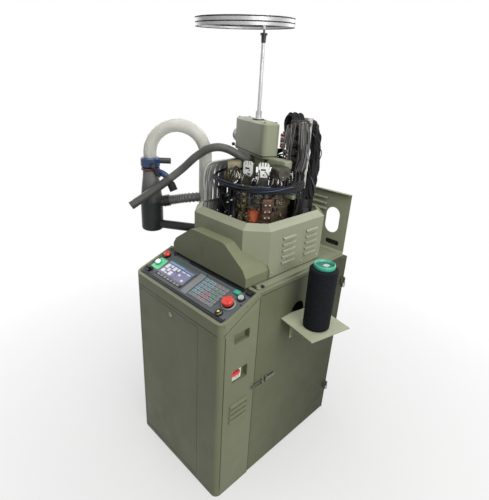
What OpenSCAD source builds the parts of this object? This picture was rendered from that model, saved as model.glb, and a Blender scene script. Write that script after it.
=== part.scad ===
// Single-cylinder sock knitting machine with a sheet-metal cabinet, a sloping
// control console, an open knitting head and a suction unit on its left side.
// Origin: on the floor under the needle cylinder axis. +X right, +Y rear, +Z up.

/* [Cabinet] */
// Width of the cabinet
cab_w = 560; // [540:1:620]
// Distance from the needle cylinder axis to the console front
axis_to_front = 462; // [450:1:500]
// Depth of the control console
console_d = 190; // [180:1:200]
// Depth of the main cabinet behind the console
body_d = 596; // [590:1:640]
// Drop from the top of the side walls to the console rim at the front
rim_drop = 55; // [48:1:62]
// Rise of the console rim from front to rear
rim_rise = 73; // [65:1:78]
// Height of the cabinet side walls
wall_h = 927; // [920:1:960]
// Thickness of the sheet-metal panels
sheet = 2; // [1.5:0.1:2.5]
// Radius of the console's two front corners
corner_r = 28; // [22:1:34]
// Depth of the folded edges of the doors and side panels
fold_d = 16; // [12:1:18]
// Side of the square frame tube
tube_w = 40; // [30:1:44]
// Radius of the anchor holes in the base frame
anchor_r = 7; // [5:0.5:9]

/* [Console] */
// Height of the moulded rim band round the console top
band_h = 55; // [45:1:65]
// Width of the rim
rim_w = 18; // [16:1:22]
// Depth of the control plate below the rim
plate_sink = 8; // [6:1:10]
// Thickness of the control plate
plate_t = 3; // [2:0.5:4]
// Width of the display
display_w = 176; // [150:1:190]
// Height of the display along the slope
display_h = 92; // [80:1:100]
// Width of the key field
keys_w = 136; // [120:1:140]
// Length of the key field along the slope
keys_h = 104; // [90:1:110]
// Radius of the push-button caps
cap_r = 11; // [9:0.5:12]
// Radius of the emergency-stop head
stop_r = 23; // [20:0.5:25]

/* [Guards] */
// Half width of the octagonal guard
guard_hw = 220; // [212:1:228]
// Half depth of the octagonal guard
guard_hd = 247; // [244:1:252]
// Size of the guard's corner chamfer
guard_c = 75; // [65:1:80]
// Height of the guard's upright walls
guard_h = 198; // [185:1:210]
// Inward run of the guard's sloping lip
lip_run = 30; // [24:1:36]
// Rise of the guard's sloping lip
lip_rise = 22; // [16:1:26]
// Half width of the front hood
hood_hw = 225; // [221:1:240]
// Height of the hood above the machine bed
hood_h = 146; // [136:1:156]
// Height of the rear guard panel above the machine bed
rear_guard_h = 276; // [262:1:300]

/* [Knitting head] */
// Height of the machine bed top above the side walls
bed_step = 13; // [10:1:16]
// Thickness of the cast bed
bed_t = 35; // [30:1:40]
// Radius of the needle cylinder
cyl_r = 47.5; // [46:0.5:48.5]
// Number of needle grooves
needle_n = 48; // [36:2:60]
// Depth of a needle groove
groove_d = 3; // [2:0.2:3.5]
// Height of the cylinder housing above the bed
housing_h = 120; // [110:1:130]
// Outer radius of the cam box
cam_r = 98; // [94:1:102]
// Height of the cam box
cam_h = 105; // [95:1:112]
// Outer radius of the saw disc
saw_r = 66; // [62:1:70]
// Teeth of the saw disc
saw_teeth = 60; // [40:1:80]
// Outer radius of the yarn ring plate
ring_plate_r = 150; // [144:1:154]
// Direction of the head arm, seen from above
arm_angle = 158; // [155:1:160]
// Distance from the cylinder axis to the drive shaft
shaft_dist = 180; // [177:1:184]
// Height of the head column
column_h = 390; // [380:1:410]
// Width of the gear cover
cover_w = 76; // [72:1:84]
// Height of the gear cover
cover_h = 128; // [115:1:140]

/* [Yarn hoop] */
// Height of the hoop post above the gear cover
post_h = 330; // [300:1:360]
// Radius of the hoop post
post_r = 8; // [6:0.5:10]
// Outer radius of the hoop
hoop_r = 174; // [150:1:190]
// Height of the hoop band
hoop_h = 28; // [20:1:36]
// Droop of the hoop away from its post, in degrees
hoop_droop = 5; // [0:0.5:8]

/* [Suction] */
// Position of the suction tee along X
tee_x = -420; // [-440:1:-410]
// Position of the suction tee along Y
tee_y = -280; // [-300:1:-270]
// Radius of the suction tee
tee_r = 50; // [46:1:52]
// Outer radius of the clear hose
hose_r = 28.5; // [26:0.5:30]

/* [Yarn shelf] */
// Side of the square shelf
shelf_w = 200; // [180:1:210]
// Drop from the top of the side walls to the shelf
shelf_drop = 150; // [142:1:162]
// Radius of the yarn package at its foot
pack_r = 46; // [40:1:50]
// Height of the yarn package
pack_h = 246; // [200:1:270]

/* [Hidden] */
$fn = 64;
cut = 1;
fit = 0.05;
gap = 0.5;
hw = cab_w / 2;
rim_front_h = wall_h - rim_drop;
shelf_z = wall_h - shelf_drop;
front_y = -axis_to_front;
seam_y = front_y + console_d;
rear_y = seam_y + body_d;
inner_x = hw - fold_d - 2;
slope = atan(rim_rise / console_d);
slope_len = console_d / cos(slope);
z_bed = wall_h + bed_step;
z_bed_low = z_bed - bed_t;
big = 2000;

// Heights in the knitting head, from the bed upwards
z_house = z_bed + housing_h;
z_cam = z_house + cam_h;
cap_t = 13;
z_cap = z_cam + cap_t;
dial_z = z_cap + 8;
dial_t = 10;
hub_h = 8;
z_saw = dial_z + dial_t + hub_h;
saw_t = 3;
z_arm = z_bed + column_h;
z_plate = z_arm - 66;
ring_plate_t = 8;
z_finger = z_plate + ring_plate_t;
arm_t = 40;
flange_t = 10;
z_cover = z_arm + arm_t + flange_t;
z_cover_top = z_cover + cover_h;
z_post = z_cover_top + post_h;

// Radii in the knitting head
sleeve_r = cyl_r + 2.5;
bearing_r = sleeve_r + 12;
cam_in_r = cyl_r + 8.5;
shaft_r = 10;
dial_shaft_r = 12;
small_bearing_r = 24;
ring_plate_in_r = saw_r + 26;

// Belts and pulleys
belt_t = 3;
belt_h = 20;
cyl_pulley_r = 60;
lay_cyl_pulley_r = 30;
dial_pulley_r = 26;
lay_dial_pulley_r = dial_pulley_r / 2;
lay_motor_pulley_r = 50;
motor_pulley_r = 20;
z_cyl_belt = z_bed_low - 43;
z_dial_belt = z_cover + 25;
rail_z = wall_h - 287;
z_motor_plate = rail_z + tube_w;
motor_plate_t = 10;
z_motor_belt = z_motor_plate + 22;
motor_w = 94;
motor_h = 170;
lay_x = shaft_dist * cos(arm_angle);
lay_y = shaft_dist * sin(arm_angle);
motor_x = lay_x;
motor_y = lay_y - 180;

// Front panel and lock
panel_x0 = -248;
panel_x1 = 148;
panel_z0 = 28;
panel_gap = 2;
panel_top = rim_front_h - band_h - 11;
pivot_in = 5;
pivot_r = 3;
lock_x = -21;
lock_z = panel_top - 26;
lock_r = 9;

// Recesses in the console's right side
recess_depth = 25;
recess_y = seam_y - 87;
recess_w = 84;
recess_z = [rim_front_h - 81, rim_front_h - 254];
vent_z = rim_front_h - 477;
recess_h = [48, 64];

// Door, hinges and latch
door_y0 = seam_y + 1.5;
door_y1 = rear_y - 4;
door_z0 = 8;
door_z1 = wall_h - 1;
hinge_r = 6;
hinge_x = hw + hinge_r + 1;
hinge_y = rear_y - 6;
hinge_pin_r = 4;
hinge_h = 24;
hinge_zs = [150, wall_h - 147];
hole_y = -28;
hole_z = shelf_z - 4;
hole_r = 42;
latch_z = wall_h - 418;
latch_h = 18;
latch_x = hw + 6;
latch_pin_r = 2.5;
lever_y = seam_y + 68;
bail_y = seam_y + 46;
ear_t = 3;

// Yarn shelf
shelf_t = 5;
shelf_turn = -12;
shelf_x = hw + 105;
shelf_y = -56;
pack_x = shelf_x + 20;
pack_y = shelf_y - 14;
pack_wall = 16;
tube_wall = 2.5;
tube_over = 16;

// Hoses
tee_z = z_bed + 48;
tee_h = 190;
neck_h = 100;
neck_r = 33;
z_valve = tee_z + tee_h + neck_h;
valve_h = 46;
valve_r = 42;
z_hose = z_valve + valve_h;
hose_wall = 3;
hose_leg = [-262, -95];
hose_spring_z = z_hose + 18;
hose_span = norm(hose_leg - [tee_x, tee_y]);
hose_turn = atan2(hose_leg[1] - tee_y, hose_leg[0] - tee_x);
grey_r = 17;
loom_r = 9;
loom_track = ring_plate_r + 3 * loom_r;

olive = [0.47, 0.47, 0.38];
olive_light = [0.62, 0.63, 0.53];
steel = [0.66, 0.66, 0.64];
bronze = [0.45, 0.36, 0.27];
dark = [0.16, 0.16, 0.17];

// Frames that several sub-parts share

// Places its children in the plane of the console top: X across, Y up the slope
module on_console() {
    translate([0, front_y, rim_front_h])
        rotate([slope, 0, 0])
            children();
}

// Turns its children so that X runs along the head arm
module along_arm() {
    rotate([0, 0, arm_angle])
        children();
}

// Places a profile drawn in the XZ plane so that it runs along +Y from y0 over a length
module run_y(y0, length) {
    translate([0, y0 + length, 0])
        rotate([90, 0, 0])
            linear_extrude(length)
                children();
}

// Basic forms

module box(x0, x1, y0, y1, z0, z1) {
    translate([x0, y0, z0])
        cube([x1 - x0, y1 - y0, z1 - z0]);
}

module tube(r_out, r_in, h) {
    difference() {
        cylinder(r = r_out, h = h);
        translate([0, 0, -cut])
            cylinder(r = r_in, h = h + 2 * cut);
    }
}

// Rectangle with rounded corners
module round_rect(x0, x1, y0, y1, r) {
    translate([x0 + r, y0])
        square([x1 - x0 - 2 * r, y1 - y0]);
    translate([x0, y0 + r])
        square([x1 - x0, y1 - y0 - 2 * r]);
    for (x = [x0 + r, x1 - r])
        for (y = [y0 + r, y1 - r])
            translate([x, y])
                circle(r);
}

// Slot with round ends, centred on its middle
module slot(length, width) {
    square([length - width, width], center = true);
    for (side = [-1, 1])
        translate([side * (length - width) / 2, 0])
            circle(width / 2);
}

// Outline of a belt round two pulleys, a at the origin and b at a distance along X
function belt_line(ra, rb, dist) =
    let (lean = acos((ra - rb) / dist), steps = 28, wrap_a = 360 - 2 * lean, wrap_b = 2 * lean)
    concat(
        [for (k = [0 : steps]) ra * [cos(lean + k * wrap_a / steps), sin(lean + k * wrap_a / steps)]],
        [for (k = [0 : steps])
            [dist, 0] + rb * [cos(k * wrap_b / steps - lean), sin(k * wrap_b / steps - lean)]]);

module belt(ra, rb, dist) {
    linear_extrude(belt_h)
        difference() {
            polygon(belt_line(ra + gap + belt_t, rb + gap + belt_t, dist));
            polygon(belt_line(ra + gap, rb + gap, dist));
        }
}

// Pressed louver on a wall that faces +X: a quarter-round hood over a slit
module louver_hood(length, r) {
    rotate([90, 0, 0])
        linear_extrude(length, center = true)
            difference() {
                intersection() {
                    circle(r);
                    translate([0, 0])
                        square(r);
                }
                circle(r - sheet);
            }
    for (end = [-1, 1])
        translate([0, end * (length / 2 - sheet / 2), 0])
            rotate([90, 0, 0])
                linear_extrude(sheet, center = true)
                    intersection() {
                        circle(r);
                        square(r);
                    }
}

module louver_slit(length, r) {
    translate([-2 * sheet, -length / 2 + sheet, 0])
        cube([3 * sheet, length - 2 * sheet, r - sheet]);
}

// Smooth path through a list of points, with steps between each pair
function spline_point(p, i, t) =
    let (a = p[max(i - 1, 0)], b = p[i], c = p[i + 1], d = p[min(i + 2, len(p) - 1)])
    0.5 * (2 * b + (c - a) * t + (2 * a - 5 * b + 4 * c - d) * t * t + (3 * b - a - 3 * c + d) * t * t * t);

function spline(p, steps) = concat(
    [for (i = [0 : len(p) - 2]) for (k = [0 : steps - 1]) spline_point(p, i, k / steps)],
    [p[len(p) - 1]]);

function unit(v) = v / norm(v);

function heading(p, i) = unit(p[min(i + 1, len(p) - 1)] - p[max(i - 1, 0)]);

// Round bar swept along a path, one closed solid
module sweep(path, r, sides, up) {
    n = len(path);
    rings = [for (i = [0 : n - 1])
        let (t = heading(path, i), s = unit(cross(t, up)), w = cross(s, t))
        for (k = [0 : sides - 1])
            path[i] + r * (cos(360 * k / sides) * s + sin(360 * k / sides) * w)];
    walls = [for (i = [0 : n - 2]) for (k = [0 : sides - 1])
        [i * sides + k, i * sides + (k + 1) % sides, (i + 1) * sides + (k + 1) % sides, (i + 1) * sides + k]];
    first = [for (k = [0 : sides - 1]) sides - 1 - k];
    last = [for (k = [0 : sides - 1]) (n - 1) * sides + k];
    polyhedron(points = rings, faces = concat([first], walls, [last]), convexity = 6);
}

// Cabinet

module frame_ring() {
    difference() {
        box(-inner_x, inner_x, front_y + corner_r + sheet, rear_y - sheet, 0, tube_w);
        box(-inner_x + tube_w, inner_x - tube_w, front_y + corner_r + sheet + tube_w, -tube_w / 2,
            -cut, tube_w + cut);
        box(-inner_x + tube_w, inner_x - tube_w, tube_w / 2, rear_y - sheet - tube_w, -cut, tube_w + cut);
    }
}

module frame_posts() {
    for (x = [-inner_x, inner_x - tube_w])
        for (y = [seam_y, rear_y - sheet - tube_w])
            box(x, x + tube_w, y, y + tube_w, tube_w - cut, z_bed_low);
}

module base_frame() {
    color(dark)
    difference() {
        union() {
            frame_ring();
            frame_posts();
            box(-inner_x, -inner_x + tube_w, seam_y + tube_w - cut, rear_y - sheet - tube_w + cut,
                rail_z, z_motor_plate);
            box(-inner_x, lay_x + 70, motor_y - 80, lay_y + 70, z_motor_plate - cut,
                z_motor_plate + motor_plate_t);
            box(-hw + sheet, hw - sheet, seam_y - sheet, seam_y, tube_w, rim_front_h + rim_rise - band_h - 4);
        }
        for (x = [-1, 1])
            for (y = [front_y + corner_r + sheet + tube_w / 2, rear_y - sheet - 2 * tube_w])
                translate([x * (inner_x - tube_w / 2), y, -cut])
                    cylinder(r = anchor_r, h = tube_w + 2 * cut);
        translate([lay_x, lay_y, z_motor_plate - 2 * cut])
            cylinder(r = small_bearing_r, h = motor_plate_t + 3 * cut);
        translate([motor_x, motor_y, z_motor_plate - 2 * cut])
            cylinder(r = 30, h = motor_plate_t + 3 * cut);
    }
}

// Shallow pan of a given depth with four folded edges that opens towards -X
module pan(depth, y0, y1, z0, z1) {
    difference() {
        box(hw - depth, hw, y0, y1, z0, z1);
        box(hw - depth - cut, hw - sheet, y0 + sheet, y1 - sheet, z0 + sheet, z1 - sheet);
    }
}

module left_panel() {
    color(olive)
        mirror([1, 0, 0])
            pan(hw - inner_x, seam_y, rear_y - sheet, 0, wall_h);
}

module rear_panel() {
    louver_l = 120;
    louver_r = 9;
    color(olive) {
        difference() {
            box(-hw, hw, rear_y - sheet, rear_y, 0, wall_h);
            for (x = [-110, 110])
                for (k = [0 : 4])
                    translate([x, rear_y, 620 + 28 * k])
                        rotate([0, 0, 90])
                            louver_slit(louver_l, louver_r);
        }
        for (x = [-110, 110])
            for (k = [0 : 4])
                translate([x, rear_y, 620 + 28 * k])
                    rotate([0, 0, 90])
                        louver_hood(louver_l, louver_r);
    }
}

module machine_bed() {
    edge = 7;
    color(olive_light)
    difference() {
        union() {
            box(-inner_x, inner_x, seam_y, rear_y - sheet, z_bed_low, wall_h);
            box(-inner_x + edge, inner_x - edge, seam_y + 2 * edge, rear_y - sheet, wall_h - cut, z_bed);
        }
        translate([0, 0, z_bed_low - cut])
            cylinder(r = bearing_r, h = bed_t + 2 * cut);
        translate([lay_x, lay_y, z_bed_low - cut])
            cylinder(r = 2 * shaft_r, h = bed_t + 2 * cut);
    }
}

// Plan of the console with its two round front corners, drawn smaller by an inset
module console_plan(inset, back) {
    r = corner_r - inset;
    y0 = front_y + inset;
    x1 = hw - inset;
    translate([-x1, y0 + r])
        square([2 * x1, back - y0 - r]);
    translate([-x1 + r, y0])
        square([2 * x1 - 2 * r, r + cut]);
    for (x = [-x1 + r, x1 - r])
        translate([x, y0 + r])
            circle(r);
}

// Half space above a plane parallel to the console rim, lowered by a drop
module above_rim(drop) {
    translate([0, front_y, rim_front_h - drop])
        rotate([slope, 0, 0])
            translate([-big / 2, -big / 2, 0])
                cube([big, big, big]);
}

module panel_bracket(x0) {
    difference() {
        box(x0, x0 + 3.5, front_y + sheet - 0.5, front_y + 14, panel_z0 - 2, panel_z0 + 14);
        translate([x0 - cut, front_y + pivot_in, panel_z0 + pivot_in])
            rotate([0, 90, 0])
                cylinder(r = pivot_r + fit, h = 6);
    }
}

module keeper() {
    box(hw - 0.5, hw + 2, seam_y - 20, seam_y - 2, latch_z - latch_h / 2, latch_z + latch_h / 2);
    box(hw + 1, latch_x + 0.5, seam_y - 9.7, seam_y - 5, latch_z - 5, latch_z + 5);
}

module console_shell() {
    color(olive) {
        difference() {
            linear_extrude(rim_front_h + rim_rise)
                difference() {
                    console_plan(0, seam_y);
                    console_plan(sheet, seam_y + cut);
                }
            above_rim(band_h);
            box(panel_x0 - panel_gap, panel_x1 + panel_gap, front_y - cut, front_y + 2 * sheet,
                panel_z0 - 2 * panel_gap, panel_top + panel_gap);
            for (i = [0, 1])
                box(hw - 2 * sheet, hw + cut, recess_y - recess_w / 2, recess_y + recess_w / 2,
                    recess_z[i] - recess_h[i] / 2, recess_z[i] + recess_h[i] / 2);
            for (k = [0 : 3])
                translate([hw, recess_y, vent_z + 26 * k])
                    louver_slit(96, 9);
        }
        for (k = [0 : 3])
            translate([hw, recess_y, vent_z + 26 * k])
                louver_hood(96, 9);
        panel_bracket(panel_x1 + gap);
        panel_bracket(panel_x0 - gap - 3.5);
        keeper();
    }
}

module console_bezel() {
    ledge = 7;
    color(olive_light)
    difference() {
        linear_extrude(rim_front_h + rim_rise)
            console_plan(0, seam_y);
        above_rim(0);
        difference() {
            translate([-big / 2, -big / 2, -big / 2])
                cube(big + 2 * rim_front_h);
            above_rim(band_h);
        }
        translate([0, 0, -cut])
            linear_extrude(big)
                console_plan(rim_w, seam_y - rim_w);
        intersection() {
            translate([0, 0, -cut])
                linear_extrude(big)
                    console_plan(rim_w - ledge, seam_y - rim_w + ledge);
            above_rim(plate_sink + plate_t);
        }
    }
}

// Places of the controls on the console: across and up the slope
display_at = [-110, 92];
keys_at = [98, 98];
selector_at = [-240, 49];
start_at = [-243, 98];
stop_at = [-243, 150];
inch_at = [214, 46];
estop_at = [216, 94];
reset_at = [235, 142];
stem_r = 8;
stop_stem_r = 9;
button_at = [start_at, stop_at, inch_at, reset_at];
plate_w = -plate_sink * cos(slope);
travel = 3;
stop_travel = 6;
collar_h = 6;

module control_plate() {
    ledge = 7;
    inset = rim_w - ledge + gap;
    color([0.42, 0.44, 0.46]) {
        difference() {
            intersection() {
                linear_extrude(big)
                    console_plan(inset, seam_y - inset);
                difference() {
                    above_rim(plate_sink + plate_t);
                    above_rim(plate_sink);
                }
            }
            on_console() {
                for (p = button_at)
                    translate([p[0], p[1], -big / 2])
                        cylinder(r = stem_r + gap, h = big);
                for (p = [selector_at, estop_at])
                    translate([p[0], p[1], -big / 2])
                        cylinder(r = stop_stem_r + gap, h = big);
            }
        }
        on_console()
            for (i = [0 : 5])
                for (j = [0 : 5])
                    translate([keys_at[0] + (i - 2.5) * keys_w / 6, keys_at[1] + (j - 2.5) * keys_h / 6,
                        plate_w - 0.2])
                        linear_extrude(1.2)
                            square([keys_w / 6 - 5, keys_h / 6 - 5], center = true);
    }
}

module display_window() {
    color([0.25, 0.28, 0.35])
        on_console()
            translate([display_at[0], display_at[1], plate_w])
                linear_extrude(2)
                    round_rect(-display_w / 2, display_w / 2, -display_h / 2, display_h / 2, 5);
}

// Black strips along the panel's front and rear, and the collars of the controls
module console_trim() {
    strip_n = 52;
    strip_x = hw - rim_w - 6;
    pitch = 2 * strip_x / strip_n;
    color(dark)
        on_console() {
            translate([0, 25, plate_w])
                difference() {
                    linear_extrude(3)
                        square([2 * strip_x, 14], center = true);
                    for (k = [0 : strip_n - 1])
                        translate([-strip_x + (k + 0.5) * pitch, 0, 2])
                            linear_extrude(2)
                                square([pitch * 0.6, 8], center = true);
                }
            translate([54, 175, plate_w])
                linear_extrude(6)
                    square([324, 10], center = true);
            for (p = button_at)
                translate([p[0], p[1], plate_w])
                    tube(cap_r + 5, cap_r + gap, collar_h);
            translate([estop_at[0], estop_at[1], plate_w])
                tube(stop_r - 2, stop_stem_r + gap, collar_h);
        }
}

// Push button with a stem through the plate and a cap that stands proud of its collar
module push_button(at) {
    on_console()
        translate([at[0], at[1], plate_w]) {
            translate([0, 0, -plate_t - 12])
                cylinder(r = stem_r, h = plate_t + 12 + travel + gap + cut);
            translate([0, 0, travel + gap])
                cylinder(r = cap_r, h = collar_h + 2);
        }
}

module emergency_stop() {
    lift = collar_h + stop_travel + gap;
    color("red")
        on_console()
            translate([estop_at[0], estop_at[1], plate_w])
                rotate_extrude()
                    polygon(concat(
                        [[0, -plate_t - 16], [stop_stem_r, -plate_t - 16], [stop_stem_r, lift],
                            [stop_r - 2, lift]],
                        [for (a = [0 : 15 : 90]) [(stop_r - 4) + 4 * cos(a), lift + 8 + 8 * sin(a)]],
                        [[0, lift + 17]]));
}

module start_button() {
    color("honeydew")
        push_button(start_at);
}

module stop_button() {
    color("red")
        push_button(stop_at);
}

module inch_button() {
    color("khaki")
        push_button(inch_at);
}

module reset_button() {
    color("white")
        push_button(reset_at);
}

module selector_knob() {
    color(dark)
        on_console()
            translate([selector_at[0], selector_at[1], plate_w]) {
                translate([0, 0, -plate_t - 12])
                    cylinder(r = stop_stem_r, h = plate_t + 13);
                translate([0, 0, gap])
                    cylinder(r = 15, h = 8);
                translate([0, 0, gap])
                    linear_extrude(20)
                        slot(27, 9);
            }
}

module front_panel() {
    depth = 14;
    color(olive)
    difference() {
        union() {
            difference() {
                box(panel_x0, panel_x1, front_y, front_y + depth, panel_z0, panel_top);
                box(panel_x0 + sheet, panel_x1 - sheet, front_y + sheet, front_y + depth + cut,
                    panel_z0 + sheet, panel_top - sheet);
            }
            for (x = [panel_x0 - 4.5, panel_x1 - cut])
                translate([x, front_y + pivot_in, panel_z0 + pivot_in])
                    rotate([0, 90, 0])
                        cylinder(r = pivot_r, h = 5.5);
        }
        translate([lock_x, front_y - cut, lock_z])
            rotate([-90, 0, 0])
                cylinder(r = lock_r + fit, h = 4 * sheet);
    }
}

module panel_lock() {
    color(steel)
        translate([lock_x, front_y, lock_z]) {
            difference() {
                translate([0, -2 - gap, 0])
                    rotate([-90, 0, 0])
                        cylinder(r = lock_r + 2, h = 2);
                translate([-1.5, -3 - gap, -5])
                    cube([3, 2, 10]);
            }
            translate([0, -1 - gap, 0])
                rotate([-90, 0, 0])
                    cylinder(r = lock_r, h = 17);
            translate([-5, 13, -3])
                cube([10, 2.5, 21]);
        }
}

// Two moulded cups in the console's right side, the lower with the switch plate
module side_recesses() {
    color(olive)
        for (i = [0, 1]) {
            y0 = recess_y - recess_w / 2;
            z0 = recess_z[i] - recess_h[i] / 2;
            difference() {
                box(hw - recess_depth, hw, y0, y0 + recess_w, z0, z0 + recess_h[i]);
                box(hw - recess_depth + sheet, hw + cut, y0 + sheet, y0 + recess_w - sheet, z0 + sheet,
                    z0 + recess_h[i] - sheet);
                if (i == 1)
                    translate([hw - recess_depth - cut, recess_y - 12, recess_z[1]])
                        rotate([0, 90, 0])
                            cylinder(r = 6 + fit, h = 2 * sheet + cut);
            }
        }
}

module main_switch() {
    color("firebrick")
        translate([hw - recess_depth, recess_y - 12, recess_z[1]]) {
            translate([-8, 0, 0])
                rotate([0, 90, 0])
                    cylinder(r = 6, h = 18);
            translate([sheet + gap, 0, 0])
                rotate([90, 0, 90])
                    linear_extrude(14)
                        slot(44, 13);
        }
}

module latch_ears(y) {
    for (z = [latch_z - latch_h / 2 - ear_t - gap, latch_z + latch_h / 2 + gap])
        box(hw - 0.5, latch_x + 4, y - 4, y + 4, z, z + ear_t);
    translate([latch_x, y, latch_z - latch_h / 2 - ear_t - gap])
        cylinder(r = latch_pin_r, h = latch_h + 2 * ear_t + 2 * gap);
}

module side_door() {
    color(olive) {
        difference() {
            pan(fold_d, door_y0, door_y1, door_z0, door_z1);
            translate([hw - 2 * sheet, hole_y, hole_z])
                rotate([0, 90, 0])
                    cylinder(r = hole_r, h = 4 * sheet);
        }
        for (z = hinge_zs)
            translate([0, 0, z + hinge_h / 2 + gap])
                difference() {
                    union() {
                        translate([hinge_x, hinge_y, 0])
                            cylinder(r = hinge_r, h = hinge_h);
                        box(hw - 0.5, hinge_x, hinge_y - 24, hinge_y, 0, hinge_h);
                    }
                    translate([hinge_x, hinge_y, -cut])
                        cylinder(r = hinge_pin_r + fit, h = hinge_h + 2 * cut);
                }
        latch_ears(lever_y);
        latch_ears(bail_y);
    }
}

module door_hinges() {
    color(steel)
        for (z = hinge_zs)
            translate([0, 0, z - hinge_h / 2]) {
                translate([hinge_x, hinge_y, 0])
                    cylinder(r = hinge_r, h = hinge_h);
                box(hinge_x - hinge_r, hinge_x + hinge_r, hinge_y, rear_y + sheet, 0, hinge_h);
                box(hw - 40, hinge_x + hinge_r, rear_y, rear_y + sheet, 0, hinge_h);
                translate([hinge_x, hinge_y, 0])
                    cylinder(r = hinge_pin_r, h = 2 * hinge_h + 6);
            }
}

module latch_hub(y) {
    translate([latch_x, y, latch_z - latch_h / 2])
        cylinder(r = 4.5, h = latch_h);
}

module latch_bore(y) {
    translate([latch_x, y, latch_z - latch_h])
        cylinder(r = latch_pin_r + fit, h = 2 * latch_h);
}

module latch_lever() {
    color(steel)
    difference() {
        union() {
            latch_hub(lever_y);
            box(latch_x - 1.5, latch_x + 1.5, lever_y, lever_y + 46, latch_z - 8, latch_z + 8);
            translate([latch_x - 1.5, lever_y + 46, latch_z])
                rotate([0, 90, 0])
                    cylinder(r = 8, h = 3);
        }
        latch_bore(lever_y);
    }
}

module latch_bail() {
    reach = bail_y - seam_y + 14;
    color(steel)
    difference() {
        union() {
            latch_hub(bail_y);
            box(latch_x - 1.5, latch_x + 1.5, bail_y - reach, bail_y, latch_z - latch_h / 2,
                latch_z + latch_h / 2);
        }
        box(latch_x - 4, latch_x + 4, bail_y - reach + 3.8, bail_y - 6, latch_z - latch_h / 2 + 2.5,
            latch_z + latch_h / 2 - 2.5);
        latch_bore(bail_y);
    }
}

module yarn_shelf() {
    web_t = 8;
    web_x = hw + 0.75 * shelf_w;
    web_top = shelf_z - shelf_t + cut;
    color(olive_light) {
        intersection() {
            translate([shelf_x, shelf_y, shelf_z - shelf_t])
                rotate([0, 0, shelf_turn])
                    translate([-shelf_w / 2, -shelf_w / 2, 0])
                        cube([shelf_w, shelf_w, shelf_t]);
            box(hw + 1, big, -big, big, 0, big);
        }
        box(hw, hw + 3, hole_y - 40, hole_y + 40, shelf_z - 130, hole_z - hole_r - 8);
        translate([0, hole_y - 25, 0])
            run_y(-web_t / 2, web_t)
                polygon([[hw + 2, shelf_z - 126], [hw + 2, hole_z - hole_r - 10], [hw + 22, web_top],
                    [web_x, web_top], [web_x, web_top - 13]]);
    }
}

module cone_tube() {
    top_r = pack_r - pack_wall - 2;
    color("mediumseagreen")
        translate([pack_x, pack_y, shelf_z])
            rotate_extrude()
                polygon([[top_r + 1, 0], [top_r + 3, 0], [top_r, pack_h + gap], [top_r + 7, pack_h + gap],
                    [top_r + 6, pack_h + tube_over], [top_r - tube_wall - 2, pack_h + tube_over],
                    [top_r - tube_wall, pack_h]]);
}

module yarn_package() {
    bore = pack_r - pack_wall + 1.5;
    color([0.1, 0.1, 0.12])
        translate([pack_x, pack_y, shelf_z])
            rotate_extrude()
                polygon([[bore, 0], [pack_r - 6, 0], [pack_r - 2, 3], [pack_r, 9], [pack_r - 4, pack_h - 6],
                    [pack_r - 8, pack_h], [bore - 3, pack_h]]);
}

// Guards

// Corner points of the guard's octagon, drawn smaller by an inset
function octagon(inset) =
    let (a = guard_hw - inset, b = guard_hd - inset, c = guard_c - inset * (2 - sqrt(2)))
    [[a, -b + c], [a, b - c], [a - c, b], [-a + c, b], [-a, b - c], [-a, -b + c], [-a + c, -b], [a - c, -b]];

// Upright wall with a sloping lip, as a profile whose outer face lies at a distance
module guard_profile(dist) {
    top = z_bed + guard_h;
    polygon([[dist - sheet, z_bed], [dist, z_bed], [dist, top], [dist - lip_run, top + lip_rise],
        [dist - lip_run - 1, top + lip_rise - sheet], [dist - sheet, top - sheet / 2]]);
}

// One wall of the guard between two corners of the octagon, mitred at both ends
module guard_wall(i, j) {
    outer = octagon(0);
    inner = octagon(lip_run + 10);
    mid = (outer[i] + outer[j]) / 2;
    facing = atan2(outer[j][1] - outer[i][1], outer[j][0] - outer[i][0]) - 90;
    dist = mid[0] * cos(facing) + mid[1] * sin(facing);
    intersection() {
        rotate([0, 0, facing])
            run_y(-big / 4, big / 2)
                guard_profile(dist);
        linear_extrude(big)
            polygon([outer[i] + 0.5 * (outer[i] - inner[i]), outer[j] + 0.5 * (outer[j] - inner[j]),
                inner[j], inner[i]]);
    }
}

louver_cols = [-58, 90];
louver_len = 78;
louver_rad = 9;
louver_pitch = 26;

module guard_louvers() {
    for (y = louver_cols)
        for (k = [0 : 4])
            translate([guard_hw, y, z_bed + 46 + louver_pitch * k])
                children();
}

module guard_half() {
    difference() {
        union() {
            guard_wall(0, 1);
            guard_wall(1, 2);
            guard_wall(7, 0);
            intersection() {
                guard_wall(6, 7);
                box(0.2, big, -big, big, 0, big);
            }
        }
        guard_louvers()
            louver_slit(louver_len, louver_rad);
    }
    guard_louvers()
        louver_hood(louver_len, louver_rad);
}

module guard_right() {
    color(olive)
        guard_half();
}

module guard_left() {
    color(olive)
    difference() {
        mirror([1, 0, 0])
            guard_half();
        along_arm()
            box(column_near, column_near + column_w + 2, -column_w / 2 - 2, column_w / 2 + 2, z_bed + 20, z_arm);
    }
}

// Front hood: a dome profile drawn smaller by an inset
function hood_points(inset) =
    let (w = hood_hw - inset, top = z_bed + hood_h - inset, low = z_bed + 4)
    [[-w, low - inset], [-w, z_bed + 44], [-w + 20, z_bed + 74 - inset / 2], [-w + 120, top - 4], [-w + 140, top],
        [w - 140, top], [w - 120, top - 4], [w - 20, z_bed + 74 - inset / 2], [w, z_bed + 44], [w, low - inset]];

hood_y = seam_y - 28;

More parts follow.
